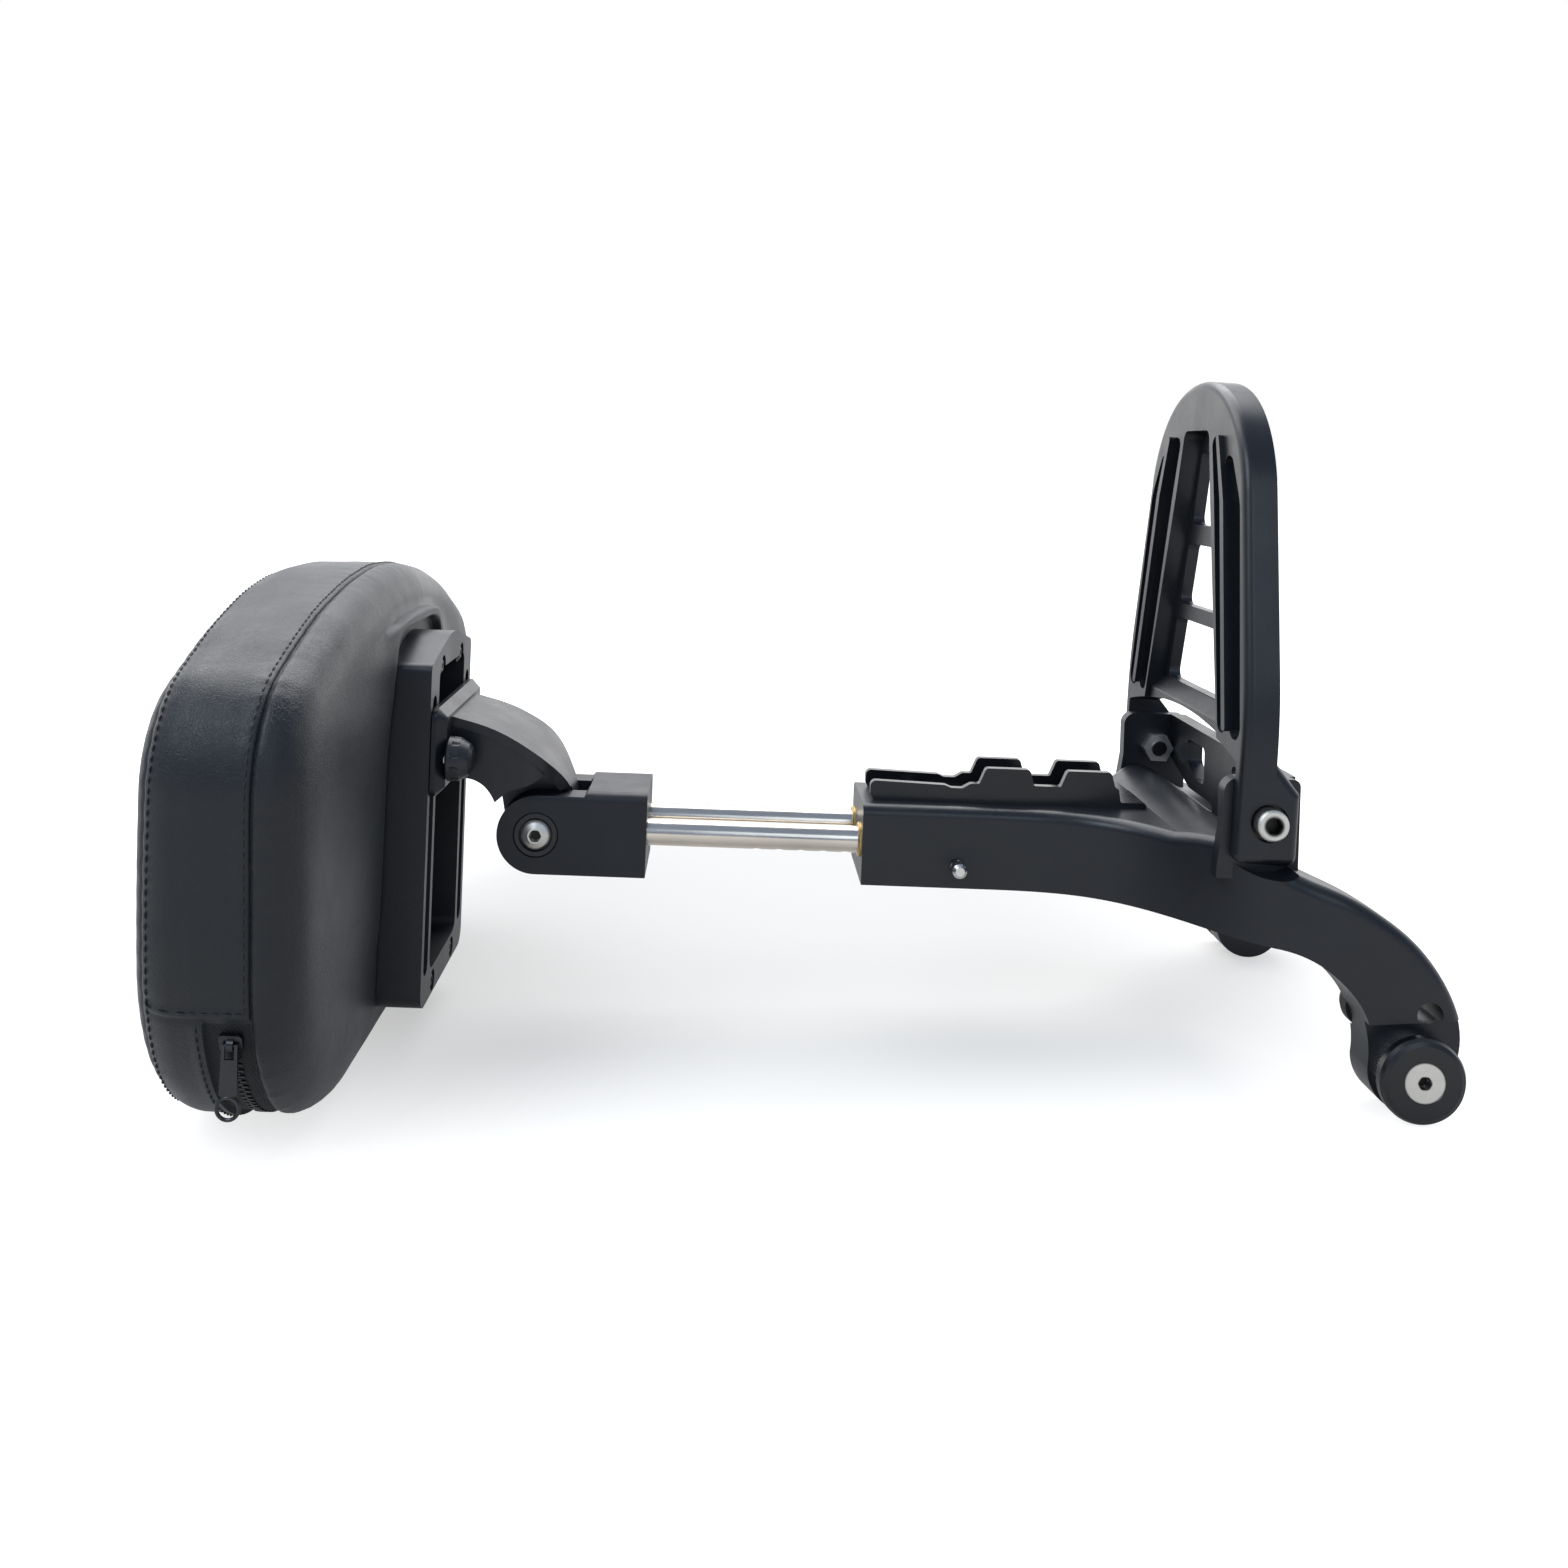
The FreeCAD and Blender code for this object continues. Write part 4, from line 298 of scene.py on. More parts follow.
cast_coat = dark_coat(
    "black_cast_coat", (0.0068, 0.008, 0.0108), (0.0098, 0.0114, 0.0154),
    rough=(0.3, 0.4), grain=900.0, grain_depth=0.00003, specular=0.45)
machined = dark_coat(
    "black_machined", (0.0064, 0.0076, 0.0106), (0.009, 0.0106, 0.0146),
    rough=(0.36, 0.46), grain=1500.0, grain_depth=0.00002, specular=0.4)
disc_coat = dark_coat(
    "black_disc_coat", (0.006, 0.006, 0.007), (0.009, 0.009, 0.0105),
    rough=(0.28, 0.38), grain=800.0, grain_depth=0.00003)
dark_screw = dark_coat(
    "dark_screw", (0.012, 0.012, 0.013), (0.02, 0.02, 0.022),
    rough=(0.3, 0.45), grain=900.0, grain_depth=0.00003)
gloss = moulded(
    "black_gloss_moulding", (0.0052, 0.0058, 0.0074), (0.0078, 0.0086, 0.0106),
    rough=(0.2, 0.3), texture=240.0, depth=0.00002, specular=0.42)
plastic = moulded(
    "black_plastic", (0.0092, 0.0102, 0.0132), (0.0136, 0.0148, 0.0184),
    rough=(0.34, 0.46), texture=1100.0, depth=0.00004)
rubber = moulded(
    "black_rubber", (0.007, 0.007, 0.0075), (0.0105, 0.0105, 0.011),
    rough=(0.5, 0.65), texture=700.0, depth=0.00005)
rod_steel = bright_metal(
    "rod_steel", (0.7, 0.64, 0.56), rough=(0.14, 0.24), stretch=(0.02, 1.0, 1.0), depth=0.000006)
steel = bright_metal(
    "turned_steel", (0.72, 0.71, 0.68), rough=(0.2, 0.34), stretch=(1.0, 0.03, 1.0), depth=0.00001)
bright_screw = bright_metal(
    "bright_screw", (0.78, 0.76, 0.72), rough=(0.28, 0.42), stretch=(1.0, 0.05, 1.0), depth=0.00001)
bronze = bright_metal(
    "bronze", (0.62, 0.44, 0.2), rough=(0.3, 0.45), stretch=(0.05, 1.0, 1.0), depth=0.00001)
zip_metal = bright_metal(
    "zip_dark_metal", (0.06, 0.06, 0.064), rough=(0.25, 0.4), stretch=(1.0, 1.0, 1.0), depth=0.00001)
hide = leather("black_leather", (0.0108, 0.012, 0.0142), (0.0152, 0.0168, 0.0192), rough=(0.4, 0.52))
hide_back = leather(
    "black_leather_back", (0.0106, 0.0116, 0.0136), (0.015, 0.0162, 0.0186), rough=(0.38, 0.5))
sewing = thread("black_thread", (0.018, 0.0185, 0.021))
tape = woven("zip_tape", (0.014, 0.014, 0.016))

# What each solid is made of. A name stands for all solids whose names start with it.
FINISHES = (
    (cast_coat, ("base_frame", "arm", "rack_plate")),
    (machined, ("clevis",)),
    (gloss, ("rest_channel",)),
    (plastic, ("pad_frame", "knob", "pivot_bush")),
    (rubber, ("leg_bumper",)),
    (disc_coat, ("foot_disc",)),
    (steel, ("foot_spacer", "lock_spring", "lock_pin")),
    (rod_steel, ("rod_near", "rod_far")),
    (bronze, ("rod_bush",)),
    (zip_metal, ("zip_slider", "zip_pull")),
    (dark_screw, ("frame_screw", "channel_screw", "rod_grub")),
)
# The radius, in metres, out to which each visible screw socket is painted dark as shade.
PAINTED_SOCKET_SHADES = (("hinge_bolt", 0.0041), ("pivot_screw", 0.0026), ("foot_screw", 0.0027))


def finish_of(name):
    """The material of a solid: a screw with a socket, a finish of the list, or bright screw steel."""
    for start, socket_shade_r in PAINTED_SOCKET_SHADES:
        if name.startswith(start):
            return socket_screw(name, socket_shade_r)
    for material, starts in FINISHES:
        if name.startswith(starts):
            return material
    return bright_screw


for node_name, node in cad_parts.items():
    if node_name != "pad":
        node.data.materials.clear()
        node.data.materials.append(finish_of(node_name))


# Camera: the photograph's view, as its size, focal length and axis in pixels and its place.
PHOTO_PX, FOCAL_PX = 1568.0, 1450.0
AXIS_PX = (727.0, 455.0)
SENSOR_MM = 36.0
CAMERA_PLACE = (-0.035872, -0.675, 0.262139)

camera_data = bpy.data.cameras.new("camera")
camera_data.sensor_width = SENSOR_MM
camera_data.lens = SENSOR_MM * FOCAL_PX / PHOTO_PX
camera_data.shift_x = (PHOTO_PX / 2 - AXIS_PX[0]) / PHOTO_PX
camera_data.shift_y = -(PHOTO_PX / 2 - AXIS_PX[1]) / PHOTO_PX
camera_data.clip_start = 0.01
camera_data.clip_end = 60.0
camera = bpy.data.objects.new("camera", camera_data)
camera.location = CAMERA_PLACE
camera.rotation_euler = (math.radians(90), 0, 0)
bpy.context.scene.collection.objects.link(camera)
bpy.context.scene.camera = camera


# The pad, in millimetres. Its outline's corners in y and z, each with its radius.
PEAK_Z, PEAK_R = 135.1, 370.0
SHOULDER_Y, SHOULDER_Z, SHOULDER_R = 175.5, 77.2, 42.0
FOOT_Y, FOOT_Z, FOOT_R = 157.0, -95.5, 85.0
PAD_MIDDLE = Vector((0.0, 8.0))
RIM_COUNT, ARC_STEPS = 720, 48
# Across the thickness: the crowned front, its rounded edge, the back seam and the back.
CROWN_X, CROWN_R, EDGE_R = -213.0, 1900.0, 18.0
EDGE_X = CROWN_X + 20.0
BACK_SEAM, BACK_X = -161.0, -143.2
FRONT_SEAM = 6.0  # inset from the rim
# The zip in the side strip: the flap's edge, the chain's line and the height of its ends.
FLAP_EDGE, ZIP_LINE, ZIP_TOP_Z = -178.2, -168.0, -36.0
ZIP_SINK, FLAP_LIFT = 1.1, 0.55
# The cover is tucked in round the frame: half width, then half height and squareness.
RECESS_HALF = 51.0
RECESS_ABOVE, RECESS_BELOW = (81.5, 6.5), (74.0, 9.0)
TUCK_WIDTH, TUCK_FOOT = 5.0, -1.2
TUCK_SIDE, TUCK_TOP = 1.8, 2.6
BACK_START_INSET = 20.0
# Slack and drag of the taut cover: height, waves round the rim, phase and slant of each.
SLACK_WAVES = ((0.3, 5, 0.6, 0.03), (0.22, 9, 1.7, -0.06), (0.09, 23, 0.4, 0.12))
# Small puckers beside the back seam.
PUCKER_HEIGHT, PUCKER_REACH = 0.09, 7.0


def smooth(value, low, high):
    """0 up to low, 1 from high, and a smooth rise between."""
    t = min(max((value - low) / (high - low), 0.0), 1.0)
    return t * t * (3 - 2 * t)


def bell(value, width):
    """1 at 0, and a smooth fall to both sides."""
    return math.exp(-((value / width) ** 2))


def corner_arc(before, corner, after, radius):
    """Points on the arc that rounds a corner."""
    back = (before - corner).normalized()
    ahead = (after - corner).normalized()
    half = back.angle(ahead) / 2
    centre = corner + (back + ahead).normalized() * (radius / math.sin(half))
    reach = radius / math.tan(half)
    start = corner + back * reach - centre
    end = corner + ahead * reach - centre
    turn = start.angle_signed(end)
    return [centre + Matrix.Rotation(-turn * step / ARC_STEPS, 2) @ start for step in range(ARC_STEPS + 1)]


def outline():
    """The rim in y and z, evenly spaced from the bottom's middle round the near side, and its length."""
    corners = [
        (Vector((-FOOT_Y, FOOT_Z)), FOOT_R),
        (Vector((-SHOULDER_Y, SHOULDER_Z)), SHOULDER_R),
        (Vector((0.0, PEAK_Z)), PEAK_R),
        (Vector((SHOULDER_Y, SHOULDER_Z)), SHOULDER_R),
        (Vector((FOOT_Y, FOOT_Z)), FOOT_R),
    ]
    bottom = Vector((0.0, FOOT_Z))
    dense = [bottom]
    for number, (corner, radius) in enumerate(corners):
        after = corners[(number + 1) % len(corners)][0]
        dense += corner_arc(corners[number - 1][0], corner, after, radius)
    dense.append(bottom)
    lengths = [0.0]
    for one, two in zip(dense, dense[1:]):
        lengths.append(lengths[-1] + (two - one).length)
    points = []
    number = 0
    for step in range(RIM_COUNT):
        target = lengths[-1] * step / RIM_COUNT
        while lengths[number + 1] < target:
            number += 1
        share = (target - lengths[number]) / max(lengths[number + 1] - lengths[number], 1e-9)
        points.append(dense[number].lerp(dense[number + 1], share))
    return points, lengths[-1]


def outward(index):
    """The rim's outward direction."""
    along = (RIM[(index + 1) % RIM_COUNT] - RIM[index - 1]).normalized()
    normal = Vector((along.y, -along.x))
    return normal if normal.dot(RIM[index] - PAD_MIDDLE) > 0 else -normal


RIM, RIM_LENGTH = outline()
RIM_STEP = RIM_LENGTH / RIM_COUNT
NORMALS = [outward(index) for index in range(RIM_COUNT)]
# The zip reaches this far along the rim from the bottom's middle, on both sides.
ZIP_REACH = next(i for i in range(RIM_COUNT) if RIM[i].y > ZIP_TOP_Z and RIM[i].x < 0) * RIM_STEP


def rim_position(index):
    """Signed distance along the rim from the bottom's middle, negative on the far side."""
    s = index % RIM_COUNT * RIM_STEP
    return s if s < RIM_LENGTH / 2 else s - RIM_LENGTH


def stretch_marks(s, x):
    """Slack and drag of the cover, and small puckers beside the back seam."""
    turn = math.tau * s / RIM_LENGTH
    slack = 0.0
    for high, count, phase, slant in SLACK_WAVES:
        slack += high * math.sin(count * turn + phase + slant * x)
    pucker = math.sin(math.tau * s / 11.3 + 1.3 * math.sin(s / 17.0))
    pucker += 0.6 * math.sin(math.tau * s / 7.1 + 2.0)
    return slack + PUCKER_HEIGHT * pucker * bell(x - BACK_SEAM, PUCKER_REACH)


def relief(index, x, inset):
    """How far the cover stands off its plain form, outward."""
    s = rim_position(index)
    height = stretch_marks(s, x)
    if x >= BACK_SEAM - 0.6:
        return height
    in_zip = smooth(ZIP_REACH - abs(s), -0.7, 0.7)
    if x > FLAP_EDGE:
        height -= (ZIP_SINK + 0.25 * smooth(abs(x - ZIP_LINE), 2.0, 7.0)) * in_zip
    elif x > FLAP_EDGE - 7.0:
        height += FLAP_LIFT * smooth(x, FLAP_EDGE - 6.0, FLAP_EDGE - 2.0) * in_zip
    # A cross seam over the side strip closes the zip's panel: a folded lip above a groove.
    past_zip = abs(s) - ZIP_REACH
    fold = 0.6 * bell(past_zip - 3.6, 1.5) - 0.7 * bell(past_zip - 1.2, 1.0)
    return height + fold * (1.0 - smooth(inset, 2.0, FRONT_SEAM - 0.5))


def crown(point):
    """The front's x for a point of the pad's face."""
    return CROWN_X + point.length_squared / (2 * CROWN_R)


def edge_drop(inset):
    """How far the front's rounded edge lies behind the crown at this inset."""
    return EDGE_R - math.sqrt(EDGE_R ** 2 - (EDGE_R - inset) ** 2)


def edge_insets(turns):
    """Insets on the rounded edge, by how far it has turned from the side towards the front."""
    return [EDGE_R * (1 - math.cos(math.radians(turn))) for turn in turns]


def pad_point(index, x, inset, share=0.0):
    """A point of the cover in y and z, inset from the rim and then drawn to the middle by share."""
    height = relief(index, x, inset) * (1.0 - smooth(inset, 6.0, 16.0)) * (1.0 - share)
    point = RIM[index] + NORMALS[index] * (height - inset)
    return point.lerp(PAD_MIDDLE, share)


def front_ring(inset, share=0.0, depth=0.0):
    """A ring of the front, sunk by depth at the seam."""
    drop = edge_drop(inset) if inset < EDGE_R else 0.0
    near_seam = bell(inset - FRONT_SEAM, 5.0) * (1.0 - share)
    inner = smooth(inset + 60 * share, 8, 40)
    ring = []
    for index in range(RIM_COUNT):
        point = pad_point(index, EDGE_X, inset, share)
        pull = 0.14 * math.sin(math.tau * index * RIM_STEP / 10.7)
        wave = 0.5 * math.sin(point.x / 31.0 + 0.8) * math.sin(point.y / 27.0 + 1.9)
        ring.append((crown(point) + drop + depth + pull * near_seam + wave * inner, point))
    return ring


def side_ring(x, inset):
    """A ring of the side strip or the back's rounded edge."""
    return [(x, pad_point(index, x, inset)) for index in range(RIM_COUNT)]


def recess_point(index, grow):
    """The tucked edge round the frame on the ray to this rim point, moved outward by grow."""
    ray = (RIM[index] - PAD_MIDDLE).normalized()
    half_height, power = RECESS_ABOVE if ray.y > 0 else RECESS_BELOW
    reach = ((abs(ray.x) / RECESS_HALF) ** power + (abs(ray.y) / half_height) ** power) ** (-1 / power)
    return PAD_MIDDLE + ray * (reach + grow)


def back_ring(point_of, lifted, puckered):
    """A ring of the back through point_of(index, rim point), with its shares of lift and pucker."""
    ring = []
    for index in range(RIM_COUNT):
        rim = pad_point(index, BACK_X, BACK_START_INSET)
        point = point_of(index, rim)
        gone = (point - rim).length
        high = TUCK_SIDE + TUCK_TOP * smooth(point.y, 30.0, 80.0)
        raised = high * lifted * smooth(point.y, -62.0, -25.0)
        wave = 0.5 * math.sin(point.x / 36.0 + 2.1) * math.sin(point.y / 29.0 + 0.4)
        pucker = 0.05 * math.sin(index * RIM_STEP / 5.3 + 2.6 * math.sin(index / 23.0))
        x = BACK_X - 0.75 * math.exp(-gone / 8.0) + raised
        x += wave * smooth(gone, 0.0, 24.0) + pucker * smooth(point.y, 20.0, 60.0) * puckered
        ring.append((x, point))
    return ring


def way_ring(share):
    """A ring on the way from the rounded edge to the tuck."""
    return back_ring(
        lambda index, rim: rim.lerp(recess_point(index, TUCK_WIDTH), share),
        smooth(share, 0.0, 1.0), smooth(share, 0.7, 1.0))


def tuck_ring(grow):
    """A ring down the tuck."""
    lifted = smooth(grow, -0.9, 1.3)
    return back_ring(lambda index, rim: recess_point(index, grow), lifted, lifted)


def inner_ring(share):
    """A ring under the frame."""
    return back_ring(
        lambda index, rim: recess_point(index, TUCK_FOOT).lerp(PAD_MIDDLE, share), 0.0, 0.0)


# The front's rings: shares of the way to the middle, turns of the rounded edge in degrees, and
# the inset and depth of the seam's groove.
FRONT_SHARES = (0.985, 0.9, 0.8, 0.7, 0.6, 0.5, 0.4, 0.3, 0.2, 0.12, 0.05)
FRONT_INSET = 22.0
INNER_TURNS, OUTER_TURNS = (90, 83, 76, 69, 63, 58, 53), (42, 37, 31, 25, 19, 12, 6)
FRONT_GROOVE = ((FRONT_SEAM + 0.55, 0.35), (FRONT_SEAM, 1.5), (FRONT_SEAM - 0.5, 0.3))
# The rings of the side strip, the zip, the back seam and the back's rounded edge, each x and inset.
STRIP_STATIONS = (
    (-184.6, -0.1),
    (-183.3, -0.2),
    (-181.8, -0.3),
    (-180.2, -0.3),
    (FLAP_EDGE - 0.9, -0.3),
    (FLAP_EDGE - 0.15, -0.3),
)
ZIP_STATIONS = (
    (FLAP_EDGE, -0.3),
    (FLAP_EDGE + 0.15, -0.3),
    (-176.5, -0.3),
    (-174.0, -0.3),
    (-171.5, -0.25),
    (-169.0, -0.2),
    (-167.0, -0.1),
    (-165.5, -0.2),
    (-164.0, -0.2),
    (-162.8, -0.1),
)
SEAM_STATIONS = (
    (BACK_SEAM - 0.75, 0.15),
    (BACK_SEAM - 0.4, 0.9),
    (BACK_SEAM, 2.3),
    (BACK_SEAM + 0.4, 1.2),
)
BACK_EDGE_STATIONS = (
    (BACK_SEAM + 0.9, 0.4),
    (-158.6, 0.2),
    (-156.6, 0.7),
    (-154.2, 1.7),
    (-151.8, 3.3),
    (-149.5, 5.5),
    (-147.5, 8.3),
    (-145.8, 11.6),
    (-144.7, 15.3),
)


# The back's rings: shares of the way to the tuck, steps down the tuck, shares of the way inside it.
WAY_SHARES = (0.0, 0.05, 0.11, 0.18, 0.26, 0.36, 0.48, 0.62, 0.78, 0.9, 1.0)
TUCK_STEPS = (3.4, 2.3, 1.6, 1.1, 0.6, 0.1, -0.4, -0.9)
INNER_SHARES = (0.0, 0.3, 0.65, 0.93)


def link_piece(name, shape, materials):
    """Make a piece with smooth faces from a shape, moving with the pad."""
    bmesh.ops.recalc_face_normals(shape, faces=shape.faces)
    for face in shape.faces:
        face.smooth = True
    mesh = bpy.data.meshes.new(name)
    shape.to_mesh(mesh)
    shape.free()
    for material in materials:
        mesh.materials.append(material)
    piece = bpy.data.objects.new(name, mesh)
    bpy.context.scene.collection.objects.link(piece)
    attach(piece, "pad")
    return piece


def make_cushion():
    """The closed cover, ring by ring from the middle of the front to the middle of the back."""
    rings = [front_ring(FRONT_INSET, share) for share in FRONT_SHARES]
    rings += [front_ring(inset) for inset in edge_insets(INNER_TURNS)]
    rings += [front_ring(inset, depth=depth) for inset, depth in FRONT_GROOVE]
    rings += [front_ring(inset) for inset in edge_insets(OUTER_TURNS)]
    zip_first = len(rings) + len(STRIP_STATIONS)
    zip_end = zip_first + len(ZIP_STATIONS)
    back_first = zip_end + len(SEAM_STATIONS)
    for stations in (STRIP_STATIONS, ZIP_STATIONS, SEAM_STATIONS, BACK_EDGE_STATIONS):
        rings += [side_ring(x, inset) for x, inset in stations]
    rings += [way_ring(share) for share in WAY_SHARES]
    rings += [tuck_ring(grow) for grow in TUCK_STEPS]
    rings += [inner_ring(share) for share in INNER_SHARES]
    shape = bmesh.new()
    rows = [[shape.verts.new(place(x, point.x, point.y)) for x, point in ring] for ring in rings]
    for row, (lower, upper) in enumerate(zip(rows, rows[1:])):
        for index in range(RIM_COUNT):
            after = (index + 1) % RIM_COUNT
            face = shape.faces.new((lower[index], lower[after], upper[after], upper[index]))
            zipped = zip_first <= row < zip_end and abs(rim_position(index)) < ZIP_REACH
            face.material_index = 2 if zipped else int(row >= back_first)
    for last in (rows[0], rows[-1]):
        middle = shape.verts.new(sum((vert.co for vert in last), Vector()) / RIM_COUNT)
        for index in range(RIM_COUNT):
            shape.faces.new((last[index], last[(index + 1) % RIM_COUNT], middle))
    return link_piece("pad_cushion", shape, [hide, hide_back, tape])


pad = make_cushion()
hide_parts("pad")


def skin(s, x, inset, lift):
    """A place on the cover and its outward direction, at rim distance s, raised by lift.
    It lies at station x of the side strip or, where x is None, on the front's rounded edge."""
    where = (s / RIM_STEP) % RIM_COUNT
    low = int(where) % RIM_COUNT
    high = (low + 1) % RIM_COUNT
    share = where - int(where)
    station = EDGE_X if x is None else x
    point = pad_point(low, station, inset).lerp(pad_point(high, station, inset), share)
    normal = NORMALS[low].lerp(NORMALS[high], share).normalized()
    forward = 0.0
    if x is None:
        turn = math.acos(1 - inset / EDGE_R)
        station = crown(point) + edge_drop(inset)
        normal = normal * math.cos(turn)
        forward = math.sin(turn)
    centre = place(station, point.x, point.y)
    tip = place(station - forward, point.x + normal.x, point.y + normal.y)
    out = (tip - centre).normalized()
    return centre + out * lift * MM, out


# Stitches: threads of six sides, with the stitch's length and the gap to the next.
THREAD_R, THREAD_SIDES = 0.42, 6
STITCH, STITCH_GAP, STITCH_STEPS = 3.1, 1.0, 5


def add_stitch(shape, start, end):
    """One stitch of thread from start to end, each (s, x, inset), sunk at both ends."""
    rows = []
    for step in range(STITCH_STEPS + 1):
        t = step / STITCH_STEPS
        s, x, inset = (a if a is None else a + (b - a) * t for a, b in zip(start, end))
        rows.append(skin(s, x, inset, THREAD_R * (1.1 * math.sin(math.pi * t) - 0.35)))
    along = (rows[-1][0] - rows[0][0]).normalized()
    loops = []
    for step, (centre, out) in enumerate(rows):
        side = along.cross(out).normalized()
        thick = THREAD_R * MM * (0.6 + 0.4 * math.sin(math.pi * step / STITCH_STEPS))
        loops.append([
            shape.verts.new(centre + (out * math.sin(angle) + side * math.cos(angle)) * thick)
            for angle in (math.tau * k / THREAD_SIDES for k in range(THREAD_SIDES))
        ])
    for lower, upper in zip(loops, loops[1:]):
        for k in range(THREAD_SIDES):
            after = (k + 1) % THREAD_SIDES
            shape.faces.new((lower[k], lower[after], upper[after], upper[k]))
    shape.faces.new(loops[0])
    shape.faces.new(loops[-1])


def seam_row(name, x, inset, start, end):
    """A row of stitches along the rim at one station."""
    shape = bmesh.new()
    count = round((end - start) / (STITCH + STITCH_GAP))
    for number in range(count):
        s = start + (end - start) * number / count
        add_stitch(shape, (s, x, inset), (s + STITCH, x, inset))
    link_piece(name, shape, [sewing])


def cross_row(name, s):
    """The stitches of a cross seam, over the side strip and round the front's edge."""
    shape = bmesh.new()
    x = CROSS_START_X
    while x + STITCH < BACK_SEAM - 1.0:
        add_stitch(shape, (s, x, -0.2), (s, x + STITCH, -0.2))
        x += STITCH + STITCH_GAP
    for start, end in CROSS_EDGE_INSETS:
        add_stitch(shape, (s, None, start), (s, None, end))
    link_piece(name, shape, [sewing])


# From a seam to its row of stitches, and where the rows beside the zip lie.
SEAM_TO_ROW, FLAP_TO_ROW = 2.3, 2.4
CLEAR_OF_ZIP = ZIP_REACH + 4.0
CROSS_SEAM = ZIP_REACH + 4.4
CROSS_START_X = -187.0
CROSS_EDGE_INSETS = ((1.1, 0.1), (4.2, 2.3))

seam_row(
    "stitches_back_seam", x=BACK_SEAM - SEAM_TO_ROW, inset=-0.1,
    start=CLEAR_OF_ZIP, end=RIM_LENGTH - CLEAR_OF_ZIP)
seam_row("stitches_front_seam", x=None, inset=FRONT_SEAM - SEAM_TO_ROW, start=0.0, end=RIM_LENGTH)
seam_row("stitches_flap", x=FLAP_EDGE - FLAP_TO_ROW, inset=-0.3, start=-ZIP_REACH, end=ZIP_REACH)
cross_row("stitches_zip_end_near", CROSS_SEAM)
cross_row("stitches_zip_end_far", -CROSS_SEAM)

# The zip's teeth: their size, and where they stand.
TOOTH_ACROSS, TOOTH_ALONG, TOOTH_OUT = 2.4, 1.1, 0.9
TOOTH_PITCH, TOOTH_STAGGER, CHAIN_END_GAP = 1.7, 0.75, 3.0
BOX_FACES = ((0, 1, 3, 2), (4, 5, 7, 6), (0, 1, 5, 4), (2, 3, 7, 6), (0, 2, 6, 4), (1, 3, 7, 5))


def make_zip_chain():
    """Two rows of interlocked teeth along the zip's line, as plain boxes on the tape."""
    shape = bmesh.new()
    start = -ZIP_REACH + CHAIN_END_GAP
    for number in range(int(-2 * start / TOOTH_PITCH)):
        s = start + number * TOOTH_PITCH
        x = ZIP_LINE + (TOOTH_STAGGER if number % 2 else -TOOTH_STAGGER)
        centre, out = skin(s, x, -0.15, 0.15)
        ahead, _ = skin(s + 1.0, x, -0.15, 0.15)
        along = (ahead - centre).normalized()
        across = along.cross(out).normalized()
        half = MM / 2
        corners = [
            shape.verts.new(
                centre + (across * a * TOOTH_ACROSS + along * b * TOOTH_ALONG + out * c * TOOTH_OUT) * half)
            for a in (-1, 1) for b in (-1, 1) for c in (-1, 1)
        ]
        for face in BOX_FACES:
            shape.faces.new([corners[k] for k in face])
    chain = link_piece("zip_chain", shape, [zip_metal])
    for polygon in chain.data.polygons:
        polygon.use_smooth = False


make_zip_chain()

# The stage, in metres. Glossy surfaces see only this share of the floor's glow.
FLOOR_HALF, FLOOR_Z = 14.0, -0.0005
# The middle of the floor's painted shade: the glow is dimmest round here.
PAINTED_SHADE_MIDDLE = (-0.02, 0.16, 0.0)
GLOSSY_SHARE = 0.35


def floor_material():
    """A pale floor with a glow that grows away from the object's shadow: painted shade round the object,
    painted light further out.
    """
    s = Shader("floor_white")
    s.set(Base_Color=(0.365, 0.357, 0.342), Roughness=0.8, Specular_IOR_Level=0.05)
    distance = s.node("ShaderNodeVectorMath", operation="DISTANCE")
    distance.inputs[1].default_value = PAINTED_SHADE_MIDDLE
    s.link(s.coords(), distance.inputs[0])
    # Painted shade and light: dim glow near the object, bright glow further out.
    strength = s.span(distance.outputs["Value"], 0.36, 1.2, 0.12, 0.56, "SMOOTHSTEP")
    rays = s.node("ShaderNodeLightPath")
    glossy = s.calc("MULTIPLY", rays.outputs["Is Glossy Ray"], GLOSSY_SHARE)
    seen = s.calc("MAXIMUM", rays.outputs["Is Camera Ray"], glossy)
    glow = s.node("ShaderNodeEmission")
    s.link(s.calc("MULTIPLY", seen, strength), glow.inputs["Strength"])
    both = s.node("ShaderNodeAddShader")
    s.link(s.bsdf.outputs["BSDF"], both.inputs[0])
    s.link(glow.outputs["Emission"], both.inputs[1])
    s.link(both.outputs["Shader"], s.out.inputs["Surface"])
    return s.material


def make_floor():
    """A wide flat floor just under the feet."""
    mesh = bpy.data.meshes.new("floor")
    shape = bmesh.new()
    bmesh.ops.create_grid(shape, x_segments=2, y_segments=2, size=FLOOR_HALF)
    shape.to_mesh(mesh)
    shape.free()
    mesh.materials.append(floor_material())
    floor = bpy.data.objects.new("floor", mesh)
    floor.location = (0, 0, FLOOR_Z)
    bpy.context.scene.collection.objects.link(floor)


# Colours of the light.
ROOM_COLOR, SWEEP_COLOR = (0.27, 0.345, 0.485, 1), (1.75, 1.75, 1.75, 1)
WHITE, COOL = (1.0, 1.0, 1.0), (0.82, 0.92, 1.0)


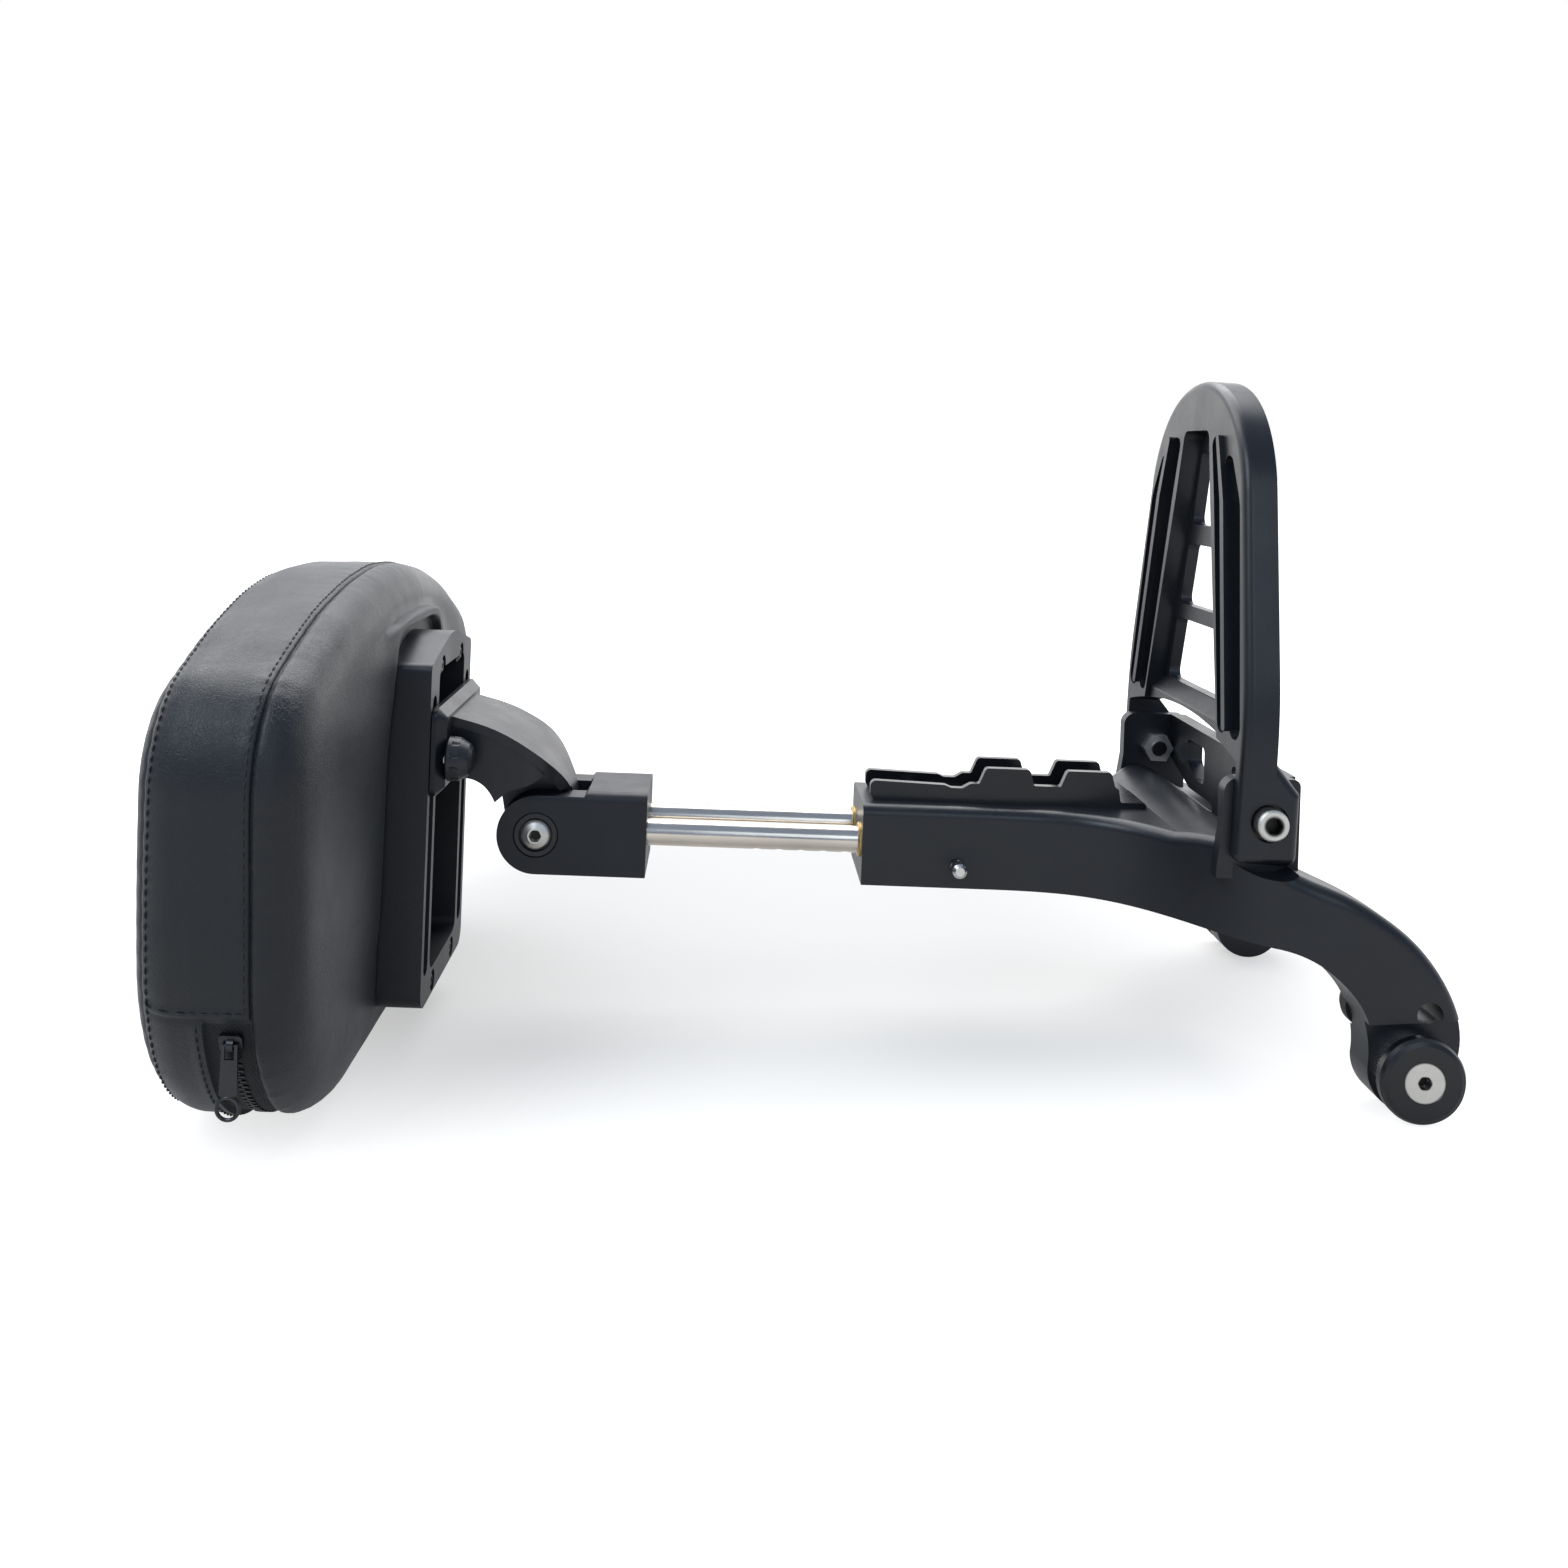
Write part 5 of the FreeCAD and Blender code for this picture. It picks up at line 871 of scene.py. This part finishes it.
def make_world():
    """A white sweep behind, dimmer overhead, and a dim cool room in front. The camera sees white."""
    world = bpy.data.worlds.new("studio")
    world.use_nodes = True
    bpy.context.scene.world = world
    w = Nodes(world.node_tree)
    direction = w.node("ShaderNodeTexCoord")
    split = w.node("ShaderNodeSeparateXYZ")
    w.link(direction.outputs["Generated"], split.inputs["Vector"])
    behind = w.span(split.outputs["Y"], 0.0, 1.0, -0.1, 0.55, "SMOOTHSTEP")
    low_down = w.span(split.outputs["Z"], 1.0, 0.35, 0.22, 0.55, "SMOOTHSTEP")
    room = w.node("ShaderNodeMix", data_type="RGBA")
    room.inputs["A"].default_value = ROOM_COLOR
    room.inputs["B"].default_value = SWEEP_COLOR
    w.link(w.calc("MULTIPLY", behind, low_down), room.inputs["Factor"])
    lighting = w.node("ShaderNodeBackground")
    w.link(room.outputs["Result"], lighting.inputs["Color"])
    seen = w.node("ShaderNodeBackground")
    seen.inputs["Color"].default_value = (*WHITE, 1)
    rays = w.node("ShaderNodeLightPath")
    mixed = w.node("ShaderNodeMixShader")
    w.link(rays.outputs["Is Camera Ray"], mixed.inputs["Fac"])
    w.link(lighting.outputs["Background"], mixed.inputs[1])
    w.link(seen.outputs["Background"], mixed.inputs[2])
    out = w.node("ShaderNodeOutputWorld")
    w.link(mixed.outputs["Shader"], out.inputs["Surface"])


def softbox(name, location, target, size, power, color):
    """A rectangular lamp of this size in metres and power in watts, aimed at target."""
    data = bpy.data.lights.new(name, "AREA")
    data.shape = "RECTANGLE"
    data.size, data.size_y = size
    data.energy = power
    data.color = color
    lamp = bpy.data.objects.new(name, data)
    lamp.location = location
    aim = Vector(target) - Vector(location)
    lamp.rotation_euler = aim.to_track_quat("-Z", "Y").to_euler()
    bpy.context.scene.collection.objects.link(lamp)


bpy.context.scene.view_settings.view_transform = "Standard"
make_floor()
make_world()
softbox("overhead", (-0.15, 0.6, 1.3), (0.0, 0.0, 0.1), (1.8, 1.2), 25.0, WHITE)
softbox("key", (-0.9, -0.9, 1.25), (-0.05, 0.0, 0.1), (0.8, 0.8), 11.0, COOL)
softbox("front_fill", (0.5, -1.7, 0.9), (0.0, 0.0, 0.12), (1.0, 0.8), 4.0, COOL)
